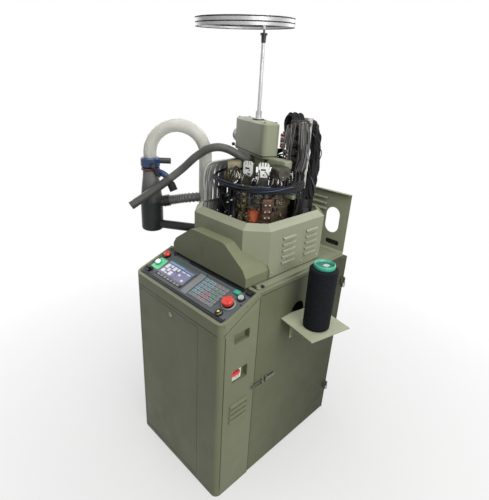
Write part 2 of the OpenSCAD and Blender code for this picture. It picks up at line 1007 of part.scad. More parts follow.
module front_hood() {
    back_y = -guard_hd + guard_c + 1;
    rim = 5;
    color(olive)
    difference() {
        union() {
            run_y(hood_y, back_y - hood_y)
                polygon(hood_points(0));
            run_y(back_y - 6, 6)
                polygon(hood_points(-rim));
        }
        run_y(hood_y + sheet, back_y - hood_y + cut)
            polygon(hood_points(sheet));
        linear_extrude(big)
            polygon(octagon(-gap));
        box(-big, big, -big, big, 0, z_bed + 6);
        difference() {
            box(-big, big, -big, seam_y + gap, 0, big);
            above_rim(-gap);
        }
    }
}

module rear_guard_panel() {
    x0 = -70;
    x1 = 258;
    wall_y = rear_y - 3 * sheet;
    top = z_bed + rear_guard_h;
    louver_z = top - 95;
    color(olive) {
        difference() {
            union() {
                box(x0, x1, wall_y - sheet, wall_y, z_bed, top);
                box(x0, inner_x - 8, wall_y - 32, wall_y, z_bed, z_bed + sheet);
                box(x0, x1, wall_y - 18, wall_y, top - sheet, top);
            }
            translate([177, wall_y + cut, z_bed + 139])
                rotate([90, 0, 0])
                    linear_extrude(4 * sheet)
                        rotate(90)
                            slot(122, 72);
            translate([192, wall_y + cut, z_bed + 33])
                rotate([90, 0, 0])
                    linear_extrude(4 * sheet)
                        slot(74, 24);
            for (k = [0 : 2])
                translate([88, wall_y - sheet, louver_z + louver_pitch * k])
                    rotate([0, 0, -90])
                        louver_slit(96, louver_rad);
        }
        for (k = [0 : 2])
            translate([88, wall_y - sheet, louver_z + louver_pitch * k])
                rotate([0, 0, -90])
                    louver_hood(96, louver_rad);
    }
}

// Knitting head

module cylinder_housing() {
    color(bronze)
        translate([0, 0, z_bed])
            difference() {
                union() {
                    cylinder(r = cam_r + 22, h = 15);
                    cylinder(r = cam_r - 3, h = housing_h);
                    for (a = [30 : 60 : 330])
                        rotate([0, 0, a])
                            translate([cam_r - 8, -5, 10])
                                cube([24, 10, housing_h * 0.6]);
                }
                translate([0, 0, -cut])
                    cylinder(r = bearing_r, h = housing_h + 2 * cut);
                for (a = [0 : 60 : 300])
                    rotate([0, 0, a])
                        translate([cam_r + 10, 0, -cut])
                            cylinder(r = 5, h = 20);
            }
}

// Outline of the cylinder with its needle grooves
function grooved(r, depth, n) = [
    for (i = [0 : n - 1])
        let (a = 360 * i / n, g = 90 / n)
        for (p = [[r, a - g], [r - depth, a - g], [r - depth, a + g], [r, a + g]])
            [p[0] * cos(p[1]), p[0] * sin(p[1])]];

module needle_cylinder() {
    color(steel)
    difference() {
        union() {
            translate([0, 0, z_cyl_belt - 5])
                cylinder(r = cyl_pulley_r, h = belt_h + 10);
            translate([0, 0, z_cyl_belt])
                cylinder(r = sleeve_r, h = z_house - z_cyl_belt);
            translate([0, 0, z_house - cut])
                linear_extrude(z_cam + 3 - z_house + cut)
                    polygon(grooved(cyl_r, groove_d, needle_n));
        }
        translate([0, 0, z_cyl_belt - 5 - cut])
            cylinder(r = cyl_r - 9, h = z_cam - z_cyl_belt + 20);
    }
}

// Latch needles standing in the grooves, each with a hooked tip
module needles() {
    needle_t = 1.6;
    low = z_cam - 60;
    tip = z_cam + 14;
    color("gainsboro")
        for (i = [0 : needle_n - 1])
            rotate([0, 0, 360 * i / needle_n])
                rotate([90, 0, 0])
                    linear_extrude(needle_t, center = true)
                        polygon([[cyl_r - groove_d, low], [cyl_r - 0.4, low], [cyl_r - 0.4, z_cam - 6],
                            [cyl_r - 1.2, tip - 4], [cyl_r - 0.2, tip - 2], [cyl_r - 1.2, tip],
                            [cyl_r - groove_d, tip - 1]]);
}

module cam_sector(r0, r1, start, span, z0, z1) {
    rotate([0, 0, start])
        translate([0, 0, z0])
            rotate_extrude(angle = span)
                translate([r0, 0])
                    square([r1 - r0, z1 - z0]);
}

cam_block_r = cam_r - 2;

module cam_box() {
    color(bronze) {
        translate([0, 0, z_house])
            tube(cam_r, cam_in_r, 20);
        for (k = [0 : 5])
            cam_sector(cam_in_r + 1, cam_block_r - (k % 2) * 8, -80 + 60 * k, 44, z_house + 19, z_cam);
        for (k = [0 : 5])
            rotate([0, 0, -98 + 60 * k])
                translate([cam_r - 20, -6, z_house + 19])
                    cube([16, 12, 40]);
    }
}

module sinker_cap() {
    color(steel)
        translate([0, 0, z_cam])
            difference() {
                tube(cam_r - 18, cam_in_r - 1, cap_t);
                for (a = [0 : 30 : 330])
                    rotate([0, 0, a])
                        translate([cam_r - 26, -3, cap_t - 5])
                            cube([20, 6, 10]);
            }
}

module orange_guide() {
    color("tomato") {
        cam_sector(cam_block_r, cam_block_r + 4, -78, 40, z_house + 52, z_cam + 4);
        cam_sector(cam_block_r - 12, cam_block_r + 4, -78, 40, z_cam, z_cam + 4);
    }
}

module dial() {
    color(steel)
        translate([0, 0, dial_z])
            difference() {
                union() {
                    cylinder(r = cyl_r - 1.5, h = dial_t);
                    cylinder(r = 20, h = dial_t + hub_h);
                    cylinder(r = dial_shaft_r, h = z_dial_belt + 40 - dial_z);
                    translate([0, 0, z_dial_belt - 5 - dial_z])
                        cylinder(r = dial_pulley_r, h = belt_h + 10);
                }
                for (a = [0 : 15 : 345])
                    rotate([0, 0, a])
                        translate([24, -0.8, dial_t - 3])
                            cube([30, 1.6, 6]);
            }
}

module saw_disc() {
    tooth = 4;
    color("silver")
        translate([0, 0, z_saw])
            linear_extrude(saw_t)
                difference() {
                    polygon([for (i = [0 : saw_teeth - 1])
                        for (p = [[saw_r, 0], [saw_r - tooth, 0.15]])
                            p[0] * [cos(360 * (i + p[1]) / saw_teeth), sin(360 * (i + p[1]) / saw_teeth)]]);
                    circle(dial_shaft_r);
                    for (a = [0 : 60 : 300])
                        rotate(a)
                            translate([38, 0])
                                circle(9);
                }
}

column_near = ring_plate_r + 6;
column_w = 60;

module yarn_ring_plate() {
    color(bronze)
        translate([0, 0, z_plate])
            linear_extrude(ring_plate_t)
                difference() {
                    union() {
                        circle(ring_plate_r);
                        rotate(arm_angle)
                            translate([ring_plate_in_r + 10, -25])
                                square([column_near - ring_plate_in_r - 10, 50]);
                    }
                    circle(ring_plate_in_r);
                    for (a = [0 : 45 : 315])
                        rotate(a + 10)
                            translate([ring_plate_r - 12, 0])
                                circle(3.5);
                }
}

// Directions of the two front finger units, and the sizes that they share
finger_a = -76;
finger_b = -46;
finger_w = 44;
finger_r0 = ring_plate_in_r + 6;
finger_r1 = finger_r0 + 24;
finger_h = 84;
lug_y = 17;
lug_t = 4;
pin_r = 2.5;
pivot_rad = finger_r0 - 14;
pivot_z = z_finger + 12;

module finger_housing(a) {
    rotate([0, 0, a]) {
        box(finger_r0, finger_r1, -finger_w / 2, finger_w / 2, z_finger, z_finger + finger_h);
        for (side = [-1, 1])
            difference() {
                box(pivot_rad - 5, finger_r0 + 1, side * lug_y - lug_t / 2, side * lug_y + lug_t / 2,
                    z_finger + 4, pivot_z + 6);
                translate([pivot_rad, side * lug_y - lug_t, pivot_z])
                    rotate([-90, 0, 0])
                        cylinder(r = pin_r + fit, h = 2 * lug_t);
            }
    }
}

module finger_units() {
    color([0.42, 0.38, 0.22]) {
        finger_housing(finger_a);
        finger_housing(finger_b);
        rotate([0, 0, -128]) {
            box(finger_r0, ring_plate_r - 4, -34, 34, z_finger, z_finger + 26);
            translate([finger_r0, 0, z_finger + 48])
                rotate([0, 90, 0])
                    cylinder(r = 32, h = ring_plate_r - finger_r0);
            for (side = [-1, 1])
                translate([ring_plate_r - 6, side * 14, z_finger + 30])
                    cylinder(r = 5, h = 44);
        }
        rotate([0, 0, -14]) {
            box(finger_r0, ring_plate_r - 5, -30, 30, z_finger, z_finger + 58);
            translate([finger_r0, 0, z_finger + 58])
                rotate([0, 90, 0])
                    cylinder(r = 28, h = ring_plate_r + 5 - finger_r0);
        }
        rotate([0, 0, 14])
            box(finger_r0, ring_plate_r - 4, -22, 22, z_finger, z_finger + 34);
    }
}

// White guide plates in front of the finger units, each with three yarn slots
module finger_plates() {
    plate_h = 58;
    color("white")
        for (a = [finger_a, finger_b])
            rotate([0, 0, a])
                translate([finger_r1, 0, z_finger + finger_h - 28])
                    rotate([90, 0, 90])
                        linear_extrude(3)
                            difference() {
                                polygon([[-14, -20], [14, -20], [21, -8], [21, plate_h - 28],
                                    [14, plate_h - 20], [-14, plate_h - 20], [-21, plate_h - 28], [-21, -8]]);
                                for (x = [-11, 0, 11])
                                    translate([x, plate_h - 34])
                                        circle(1.8);
                                for (x = [-11, 0, 11])
                                    translate([x - 1.8, plate_h - 34])
                                        square([3.6, 16]);
                                translate([0, -10])
                                    circle(3.5);
                            }
}

// Three yarn fingers on one pivot that dip towards the needles
module yarn_fingers(a) {
    drop = pivot_z - z_saw - 2;
    color("gainsboro")
        rotate([0, 0, a]) {
            translate([pivot_rad, -lug_y - lug_t / 2, pivot_z])
                rotate([-90, 0, 0])
                    cylinder(r = pin_r, h = 2 * lug_y + lug_t);
            translate([pivot_rad, -lug_y + lug_t, pivot_z])
                rotate([-90, 0, 0])
                    cylinder(r = 4, h = 2 * (lug_y - lug_t));
            for (y = [-8, 0, 8])
                translate([pivot_rad, y, pivot_z])
                    rotate([90, 0, 0])
                        linear_extrude(2.4, center = true)
                            polygon([[-4, 0], [3, 0], [3, -18], [-10, -drop], [-14, -drop], [-4, -20]]);
        }
}

module yarn_fingers_a() {
    yarn_fingers(finger_a);
}

module yarn_fingers_b() {
    yarn_fingers(finger_b);
}

// Ends of the gear cover along the arm, and the radius of its corners
cover_x0 = -62;
cover_x1 = shaft_dist + 62;
cover_corner = 22;

// One casting: the column on the bed, the arm over the head and the cover's seat
module head_column() {
    x1 = column_near + column_w;
    nose = cover_w / 2 - 2;
    color(olive)
        along_arm()
            difference() {
                union() {
                    box(column_near - 10, x1, -column_w / 2 - 8, column_w / 2 + 8, z_bed, z_bed + 15);
                    box(column_near, x1, -column_w / 2, column_w / 2, z_bed, z_arm + cut);
                    translate([0, 0, z_arm])
                        linear_extrude(arm_t + cut) {
                            circle(nose);
                            translate([0, -column_w / 2])
                                square([x1, column_w]);
                        }
                    translate([0, 0, z_arm + arm_t])
                        linear_extrude(flange_t)
                            round_rect(cover_x0, cover_x1, -cover_w / 2, cover_w / 2, cover_corner);
                }
                translate([0, 0, z_arm - cut])
                    cylinder(r = small_bearing_r, h = arm_t + flange_t + 2 * cut);
                translate([shaft_dist, 0, z_bed - cut])
                    cylinder(r = shaft_r + 5, h = z_cover - z_bed + 2 * cut);
                translate([shaft_dist, 0, z_cover - 30])
                    cylinder(r = small_bearing_r, h = 30 + cut);
            }
}

module gear_cover() {
    wall = 4;
    bevel = 8;
    color(olive_light)
        along_arm()
            translate([0, 0, z_cover])
                difference() {
                    hull()
                        for (x = [cover_x0 + cover_corner, cover_x1 - cover_corner])
                            for (y = [-1, 1])
                                translate([x, y * (cover_w / 2 - cover_corner), 0]) {
                                    cylinder(r = cover_corner, h = cover_h - bevel, $fn = 32);
                                    cylinder(r = cover_corner - bevel, h = cover_h, $fn = 32);
                                }
                    translate([0, 0, -cut])
                        linear_extrude(cover_h - bevel + cut)
                            round_rect(cover_x0 + wall, cover_x1 - wall, -cover_w / 2 + wall, cover_w / 2 - wall,
                                cover_corner - wall);
                }
}

module lay_shaft() {
    color(steel)
        translate([lay_x, lay_y, 0]) {
            translate([0, 0, z_motor_plate - 20])
                cylinder(r = shaft_r, h = z_dial_belt + 40 - z_motor_plate + 20);
            translate([0, 0, z_motor_belt - 3])
                cylinder(r = lay_motor_pulley_r, h = belt_h + 6);
            translate([0, 0, z_cyl_belt - 5])
                cylinder(r = lay_cyl_pulley_r, h = belt_h + 10);
            translate([0, 0, z_dial_belt - 5])
                cylinder(r = lay_dial_pulley_r, h = belt_h + 10);
        }
}

module bearings() {
    color("silver") {
        translate([0, 0, z_bed + 20])
            tube(bearing_r, sleeve_r + fit, 40);
        translate([0, 0, z_arm])
            tube(small_bearing_r, dial_shaft_r + fit, arm_t + flange_t);
        translate([lay_x, lay_y, z_cover - 30])
            tube(small_bearing_r, shaft_r + fit, 30);
        translate([lay_x, lay_y, z_motor_plate])
            tube(small_bearing_r, shaft_r + fit, motor_plate_t);
    }
}

module drive_belts() {
    color(dark) {
        along_arm() {
            translate([0, 0, z_cyl_belt])
                belt(cyl_pulley_r, lay_cyl_pulley_r, shaft_dist);
            translate([0, 0, z_dial_belt])
                belt(dial_pulley_r, lay_dial_pulley_r, shaft_dist);
        }
        translate([lay_x, lay_y, z_motor_belt])
            rotate([0, 0, -90])
                belt(lay_motor_pulley_r, motor_pulley_r, lay_y - motor_y);
    }
}

motor_shaft_r = 11;

module drive_motor() {
    half = motor_w / 2;
    color([0.2, 0.2, 0.22])
        translate([motor_x, motor_y, z_motor_plate - cut - motor_h])
            difference() {
                union() {
                    linear_extrude(motor_h)
                        round_rect(-half, half, -half, half, 10);
                    translate([half - cut, -18, 20])
                        cube([22, 36, 40]);
                }
                translate([0, 0, motor_h - 70])
                    cylinder(r = motor_shaft_r + fit, h = 70 + cut);
            }
}

module motor_rotor() {
    color(steel)
        translate([motor_x, motor_y, 0]) {
            translate([0, 0, z_motor_plate - 65])
                cylinder(r = motor_shaft_r, h = z_motor_belt + belt_h + 8 - z_motor_plate + 65);
            translate([0, 0, z_motor_belt - 3])
                cylinder(r = motor_pulley_r, h = belt_h + 6);
        }
}

// Post and hoop above the gear cover
post_along = 76;
hoop_turn = -70;
pin_h = 12;

module on_post() {
    along_arm()
        translate([post_along, 0, 0])
            children();
}

module yarn_post() {
    color("silver")
        on_post() {
            translate([0, 0, z_cover_top])
                cylinder(r = 2.6 * post_r, h = 6);
            translate([0, 0, z_cover_top])
                cylinder(r = 1.6 * post_r, h = 34);
            translate([0, 0, z_cover_top])
                cylinder(r = post_r, h = post_h - pin_h);
            translate([0, 0, z_post - 44])
                cylinder(r1 = post_r + 1, r2 = post_r + 3, h = 44 - pin_h);
            translate([0, 0, z_post - pin_h - 7])
                cylinder(r = 1.8 * post_r, h = 7);
            translate([0, 0, z_post - pin_h - cut])
                cylinder(r = post_r / 2, h = pin_h + cut);
        }
}

// Hoop that a lug on its band holds over the pin of the post
module yarn_ring() {
    band_t = 3;
    groove = 1.2;
    groove_w = 3.5;
    color("silver")
        on_post()
            translate([0, 0, z_post]) {
                cylinder(r = post_r, h = 0.7 * hoop_h);
                rotate([0, 0, hoop_turn - arm_angle])
                    rotate([0, hoop_droop, 0])
                        translate([hoop_r - band_t / 2, 0, gap])
                            rotate_extrude($fn = 96)
                                difference() {
                                    translate([hoop_r - band_t, 0])
                                        square([band_t, hoop_h]);
                                    for (f = [0.34, 0.84])
                                        translate([hoop_r - groove, f * hoop_h])
                                            square([groove + cut, groove_w]);
                                }
            }
}

// Suction unit on the left

module at_tee() {
    translate([tee_x, tee_y, tee_z])
        children();
}

pipe_r = 20;
pipe_z = tee_z + 30;
pipe_end = [-guard_hw, -150];

module suction_tee() {
    wall = 4;
    reach = norm(pipe_end - [tee_x, tee_y]) + 60;
    turn = atan2(pipe_end[1] - tee_y, pipe_end[0] - tee_x);
    color([0.3, 0.31, 0.31])
    difference() {
        union() {
            at_tee()
                rotate_extrude()
                    polygon(concat([[0, 0]],
                        [for (a = [-90 : 15 : 0]) [tee_r - 14 + 14 * cos(a), 14 + 14 * sin(a)]],
                        [[tee_r, tee_h * 0.74], [tee_r - 6, tee_h], [neck_r + 3, tee_h + neck_h * 0.6],
                            [neck_r, tee_h + neck_h], [0, tee_h + neck_h]]));
            intersection() {
                translate([tee_x, tee_y, pipe_z])
                    rotate([0, 0, turn])
                        rotate([0, 90, 0])
                            cylinder(r = pipe_r, h = reach);
                box(-big, -guard_hw, -big, big, 0, big);
            }
            at_tee()
                translate([0, 0, tee_h * 0.66])
                    rotate([0, 0, hose_turn])
                        rotate([0, 78, 0]) {
                            cylinder(r = 24, h = tee_r + 34);
                            for (k = [0 : 3])
                                translate([0, 0, tee_r + 6 + 8 * k])
                                    cylinder(r = 27, h = 4);
                        }
        }
        at_tee()
            rotate_extrude()
                polygon([[0, 12], [tee_r - 16, 12], [tee_r - wall, 24], [tee_r - wall, tee_h * 0.74],
                    [tee_r - 6 - wall, tee_h], [neck_r + 3 - wall, tee_h + neck_h * 0.6],
                    [neck_r - wall, tee_h + neck_h + cut], [0, tee_h + neck_h + cut]]);
        at_tee()
            translate([0, 0, tee_h * 0.66])
                rotate([0, 0, hose_turn])
                    rotate([0, 78, 0])
                        cylinder(r = 20, h = 3 * tee_r);
    }
}

// Direction in which the valve's stub and its lever stand off
stub_turn = -20;
stub_z = z_valve + 16;
stub_r = 7;

module suction_valve() {
    color([0.12, 0.27, 0.55])
    difference() {
        union() {
            translate([tee_x, tee_y, z_valve])
                rotate_extrude()
                    polygon([[0, 0], [valve_r - 6, 0], [valve_r, 8], [valve_r, valve_h - 6], [valve_r - 5, valve_h],
                        [0, valve_h]]);
            translate([tee_x, tee_y, z_valve + valve_h - 14])
                rotate([0, 0, hose_turn])
                    rotate([0, 90, 0])
                        cylinder(r = 13, h = valve_r + 48);
            translate([tee_x, tee_y, stub_z])
                rotate([0, 0, stub_turn])
                    rotate([0, 90, 0])
                        cylinder(r = stub_r, h = valve_r + 14);
        }
        translate([tee_x, tee_y, z_valve - cut])
            cylinder(r = hose_r - hose_wall, h = valve_h - 20 + cut);
        translate([tee_x, tee_y, z_valve + valve_h - 20])
            cylinder(r = hose_r, h = 20 + cut);
    }
}

module valve_lever() {
    hub_t = 10;
    color([0.1, 0.2, 0.6])
        translate([tee_x, tee_y, stub_z])
            rotate([0, 0, stub_turn])
                translate([valve_r + 3, 0, 0])
                    rotate([90, 0, 90])
                        linear_extrude(hub_t)
                            difference() {
                                union() {
                                    circle(stub_r + 5);
                                    rotate(-60)
                                        translate([0, -6])
                                            square([52, 12]);
                                    rotate(-60)
                                        translate([52, 0])
                                            circle(6);
                                }
                                circle(stub_r + fit);
                            }
}

// Clear hose: a half ring over two upright legs, as a solid bar of a given radius
module hose_bar(r, extra) {
    radius = hose_span / 2;
    translate([tee_x, tee_y, 0])
        rotate([0, 0, hose_turn]) {
            translate([radius, 0, hose_spring_z])
                rotate([90, 0, 0])
                    rotate_extrude(angle = 180)
                        translate([radius, 0])
                            circle(r);
            translate([0, 0, z_hose - 20 - extra])
                cylinder(r = r, h = hose_spring_z - z_hose + 20 + extra);
            translate([2 * radius, 0, z_bed - extra])
                cylinder(r = r, h = hose_spring_z - z_bed + extra);
        }
}

module clear_hose() {
    color([0.85, 0.87, 0.84, 0.6])
        difference() {
            hose_bar(hose_r, 0);
            hose_bar(hose_r - hose_wall, cut);
        }
}

// Grey hose from the head arm to its open lower end beside the suction tee
grey_start = [lay_x * 60 / shaft_dist - column_w / 2 * sin(arm_angle),
    lay_y * 60 / shaft_dist + column_w / 2 * cos(arm_angle), z_arm + 20];
grey_out = [-sin(arm_angle), cos(arm_angle), 0];
grey_route = concat(
    [for (reach = [0, 10, 26]) grey_start + reach * grey_out],
    [[-124, -98, z_arm + 60], [-172, -142, z_arm + 58], [-230, -176, z_arm + 16], [-290, -210, z_hose - 42],
        [-350, -292, z_hose - 122], [-396, -400, z_hose - 198]]);

module grey_hose() {
    color([0.36, 0.36, 0.36])
        sweep(spline(grey_route, 5), grey_r, 12, [0, 0, 1]);
}

// Valve tower: an aluminium post with a bank of solenoid valves
post_y = 116;
tower_x = 110;
tower_h = 590;

module valve_tower() {
    bank_z = z_finger + 48;
    bank_rows = 6;
    row_h = 34;
    color([0.5, 0.5, 0.48]) {
        box(tower_x - 12, tower_x + 12, post_y, post_y + 30, z_bed, z_bed + tower_h);
        box(tower_x - 24, tower_x + 24, post_y - 14, post_y + 36, z_bed, z_bed + 10);
        box(tower_x - 6, tower_x + 2, post_y - 88, post_y + cut, bank_z, bank_z + bank_rows * row_h);
        for (row = [0 : bank_rows - 1])
            for (col = [0 : 2]) {
                y0 = post_y - 86 + 29 * col;
                z0 = bank_z + 3 + row * row_h;
                box(tower_x + 1, tower_x + 22, y0, y0 + 25, z0, z0 + 28);
                translate([tower_x + 21, y0 + 12.5, z0 + 14])
                    rotate([0, 90, 0])
                        cylinder(r = 8, h = 14);
            }
    }
}

module control_box() {
    x0 = -200;
    x1 = 60;
    y1 = seam_y - sheet;
    depth = 110;
    z0 = 250;
    z1 = rail_z;
    color([0.6, 0.61, 0.6])
    difference() {
        box(x0, x1, y1 - depth, y1, z0, z1);
        box(x0 + sheet, x1 - sheet, y1 - depth + sheet, y1 + cut, z0 + sheet, z1 - sheet);
        for (k = [0 : 7])
            box(x0 + 30, x1 - 30, y1 - depth - cut, y1 - depth + 6, z0 + 40 + 40 * k, z0 + 50 + 40 * k);
    }
}

// Cable loom: from the valve bank round the front of the ring plate and down to the bed
loom_angles = [14, -12, -38, -64, -90, -116, -142, -160];
loom_z = z_plate + ring_plate_t / 2;
loom_route = concat(
    [for (z = [51, 45, 38]) [tower_x + 12, post_y - 41, z_finger + z]],
    [[tower_x + 40, post_y - 44, z_finger + 18]],
    [for (a = loom_angles) [loom_track * cos(a), loom_track * sin(a), loom_z]],
    [[-165, -72, loom_z - 50], [-172, -62, z_bed + 160]],
    [for (z = [60, 20, 0]) [-176, -56, z_bed + z]]);

// Conduit from the rear of the valve tower down to the bed
conduit_y = post_y + 30;
conduit_r = 0.118 * (rear_y - conduit_y);
conduit_out = conduit_r + 0.316 * (rear_y - conduit_y - 2 * conduit_r);
conduit_route = concat(
    [for (reach = [0, 0.5, 1]) [tower_x, conduit_y + reach * conduit_r, z_bed + 558]],
    [for (p = [[0.74, 515], [1, 430], [0.88, 300], [0.76, 170], [0.74, 60], [0.74, 20], [0.74, 0]])
        [tower_x, conduit_y + p[0] * conduit_out, z_bed + p[1]]]);

module cable_loom() {
    color(dark) {
        sweep(spline(loom_route, 5), loom_r, 8, [0.2, 0.1, 1]);
        sweep(spline(conduit_route, 5), conduit_r, 12, [1, 0, 0]);
    }
}

base_frame();
left_panel();
rear_panel();
machine_bed();
console_shell();
console_bezel();
control_plate();
display_window();
console_trim();
emergency_stop();
start_button();
stop_button();
inch_button();
reset_button();
selector_knob();
front_panel();
panel_lock();
side_recesses();
main_switch();
side_door();
door_hinges();
latch_lever();
latch_bail();
yarn_shelf();
cone_tube();
yarn_package();
front_hood();
guard_right();
guard_left();
rear_guard_panel();
cylinder_housing();
needle_cylinder();
needles();
cam_box();
sinker_cap();
orange_guide();
dial();
saw_disc();
yarn_ring_plate();
finger_plates();
finger_units();
yarn_fingers_a();
yarn_fingers_b();
head_column();
gear_cover();
lay_shaft();
bearings();
drive_belts();
drive_motor();
motor_rotor();
yarn_post();
yarn_ring();
suction_tee();
suction_valve();
valve_lever();
clear_hose();
grey_hose();
valve_tower();
control_box();
cable_loom();
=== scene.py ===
# %% [markdown]
# # A sock knitting machine, dressed for the camera
# The solid model of the machine arrives as a fixed frame: every casting, sheet-metal panel and
# shaft already stands where it belongs, in metres. This lesson gives those solids their finishes
# and adds what is better made as curved surfaces: hoses, cables, wound yarn, keys and screws.
# Each new piece is a function of two parameters, computed as whole arrays with numpy.

import bpy
import numpy as np
from mathutils import Matrix, Vector


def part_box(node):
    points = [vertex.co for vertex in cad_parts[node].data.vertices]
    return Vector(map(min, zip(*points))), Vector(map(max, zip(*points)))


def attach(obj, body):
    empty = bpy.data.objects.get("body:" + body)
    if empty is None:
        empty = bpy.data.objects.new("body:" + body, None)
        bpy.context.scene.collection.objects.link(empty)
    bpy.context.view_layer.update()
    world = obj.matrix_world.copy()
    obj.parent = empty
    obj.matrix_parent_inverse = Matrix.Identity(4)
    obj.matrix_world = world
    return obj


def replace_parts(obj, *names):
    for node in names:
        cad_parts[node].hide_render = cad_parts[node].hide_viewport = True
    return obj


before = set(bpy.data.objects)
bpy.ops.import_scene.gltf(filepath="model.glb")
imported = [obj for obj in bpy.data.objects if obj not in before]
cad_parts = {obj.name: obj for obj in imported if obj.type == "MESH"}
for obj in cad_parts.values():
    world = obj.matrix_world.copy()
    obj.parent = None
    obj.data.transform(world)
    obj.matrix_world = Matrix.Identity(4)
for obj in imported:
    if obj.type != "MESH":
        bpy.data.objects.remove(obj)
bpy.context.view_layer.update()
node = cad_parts
MM = 0.001
UP = (0, 0, 1)

# %% [markdown]
# ## The camera
# The photograph was taken from the right-hand front corner, a little above the machine. The
# camera's place and turn were solved from the cabinet's straight edges, so they are written
# here as an azimuth, a downward angle, a small roll and a position, and turned into a matrix. It
# could be moved by eye, but edges that meet in known corners settle it better.

# %% Place the camera
IMAGE_H = 500
FOCAL_PX = 388.0
AZIMUTH, DOWN, ROLL = np.radians([43.9, 23.0, 3.39])
CAMERA_AT = (1.095, -1.2195, 1.638)

forward = np.array([-np.sin(AZIMUTH) * np.cos(DOWN), np.cos(AZIMUTH) * np.cos(DOWN), -np.sin(DOWN)])
level_right = np.array([np.cos(AZIMUTH), np.sin(AZIMUTH), 0.0])
level_up = np.cross(level_right, forward)
right = np.cos(ROLL) * level_right + np.sin(ROLL) * level_up
up = np.cos(ROLL) * level_up - np.sin(ROLL) * level_right

lens = bpy.data.cameras.new("photo_camera")
lens.sensor_fit = "VERTICAL"
lens.sensor_height = 36.0
lens.lens = FOCAL_PX / IMAGE_H * lens.sensor_height
lens.clip_start, lens.clip_end = 0.05, 60.0
camera = bpy.data.objects.new("photo_camera", lens)
facing = Matrix([list(row) for row in np.column_stack([right, up, -forward])]).to_4x4()
camera.matrix_world = Matrix.Translation(Vector(CAMERA_AT)) @ facing
bpy.context.scene.collection.objects.link(camera)
bpy.context.scene.camera = camera
bpy.context.scene.view_settings.view_transform = "Standard"
print("focal length:", round(lens.lens, 2), "mm")

# %% [markdown]
# ## From grids to meshes
# A surface is a grid of points with rows and columns. It could be drawn by hand in edit mode, but
# a formula gives the same piece each time. Faces join neighbouring points, and a grid may close
# on itself in either direction. Several shells of one grid size go into one mesh, so a row of
# screws or keys is one array with one more axis.

# %% Turn grids of points into meshes
def mesh_volume(mesh):
    """Signed volume: one sixth of the sum of a . (b x c) over the triangles of every face."""
    mesh.calc_loop_triangles()
    co = np.empty(len(mesh.vertices) * 3)
    mesh.vertices.foreach_get("co", co)
    tri = np.empty(len(mesh.loop_triangles) * 3, int)
    mesh.loop_triangles.foreach_get("vertices", tri)
    p = co.reshape(-1, 3)[tri.reshape(-1, 3)]
    return np.einsum("ij,ij->i", p[:, 0], np.cross(p[:, 1], p[:, 2])).sum() / 6


def shells(name, grids, around=True, along=False, caps=True, smooth=True):
    """One mesh from k grids of n rows by m columns: face (i, j) joins points (i, j), (i, j+1),
    (i+1, j+1) and (i+1, j); around closes the columns, along closes the rows, and caps closes
    the first and last row with one face each. The UV map runs along the rows and the columns."""
    grids = np.asarray(grids, float)
    if grids.ndim == 3:
        grids = grids[None]
    k, n, m, _ = grids.shape
    i = np.arange(n if along else n - 1)
    j = np.arange(m if around else m - 1)
    a, b = np.meshgrid(i, j, indexing="ij")
    a2, b2 = (a + 1) % n, (b + 1) % m
    quad = np.stack([a * m + b, a * m + b2, a2 * m + b2, a2 * m + b], -1).reshape(-1, 4)
    base = (np.arange(k) * n * m)[:, None, None]
    faces = (quad[None] + base).reshape(-1, 4).tolist()
    u = np.stack([a, a, a + 1, a + 1], -1) / len(i)
    v = np.stack([b, b + 1, b + 1, b], -1) / len(j)
    uv = np.tile(np.stack([u, v], -1).reshape(-1, 2), (k, 1))
    if caps and not along:
        first = np.arange(m)[::-1][None] + base[:, 0]
        last = (n - 1) * m + np.arange(m)[None] + base[:, 0]
        faces += first.tolist() + last.tolist()
        uv = np.concatenate([uv, np.zeros((2 * k * m, 2))])
    mesh = bpy.data.meshes.new(name)
    mesh.from_pydata(grids.reshape(-1, 3).tolist(), [], faces)
    mesh.uv_layers.new(name="UVMap").data.foreach_set("uv", uv.ravel())
    mesh.polygons.foreach_set("use_smooth", np.full(len(mesh.polygons), smooth))
    if mesh_volume(mesh) < 0:
        mesh.flip_normals()
    mesh.update()
    piece = bpy.data.objects.new(name, mesh)
    bpy.context.scene.collection.objects.link(piece)
    return piece


def add(name, grids, finish, slot_name, body="base", **how):
    """A piece from its grids, with its finish and the body it moves with; the slot name is not used."""
    piece = shells(name, grids, **how)
    piece.data.materials.append(finish)
    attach(piece, body)
    return piece


print("mesh helpers ready")

# %% [markdown]
# ## Paths and tubes
# Hoses, cables and wires are round bars along a path. Blender's curve objects could do it too,
# but here the path is an array, so that it can be shared, shifted and measured. A path is a smooth
# line through a few places, and two vectors square to it carry the round section along.

# %% Make smooth paths and round bars
def unit(v):
    """Vectors divided by their own length."""
    v = np.asarray(v, float)
    return v / np.linalg.norm(v, axis=-1, keepdims=True)


def rail(points, steps=8):
    """Smooth path through given points: between b and c the cubic 0.5 (2b + (c-a)t +
    (2a-5b+4c-d)t^2 + (3b-a-3c+d)t^3), which passes through every point."""
    p = np.asarray(points, float)
    ends = np.vstack([p[:1], p[:-2]]), p[:-1], p[1:], np.vstack([p[2:], p[-1:]])
    a, b, c, d = (e[:, None] for e in ends)
    t = (np.arange(steps) / steps)[None, :, None]
    square, cube = 2 * a - 5 * b + 4 * c - d, 3 * b - a - 3 * c + d
    curve = 0.5 * (2 * b + (c - a) * t + square * t**2 + cube * t**3)
    return np.vstack([curve.reshape(-1, 3), p[-1:]])


LOOSE_REF = (0.21, 0.13, 1.0)


def cross_frame(path, ref):
    """Two unit vectors square to a path: side = heading x ref, and over = side x heading."""
    heading = unit(np.gradient(path, axis=0))
    side = unit(np.cross(heading, np.asarray(ref, float)))
    return side, np.cross(side, heading)


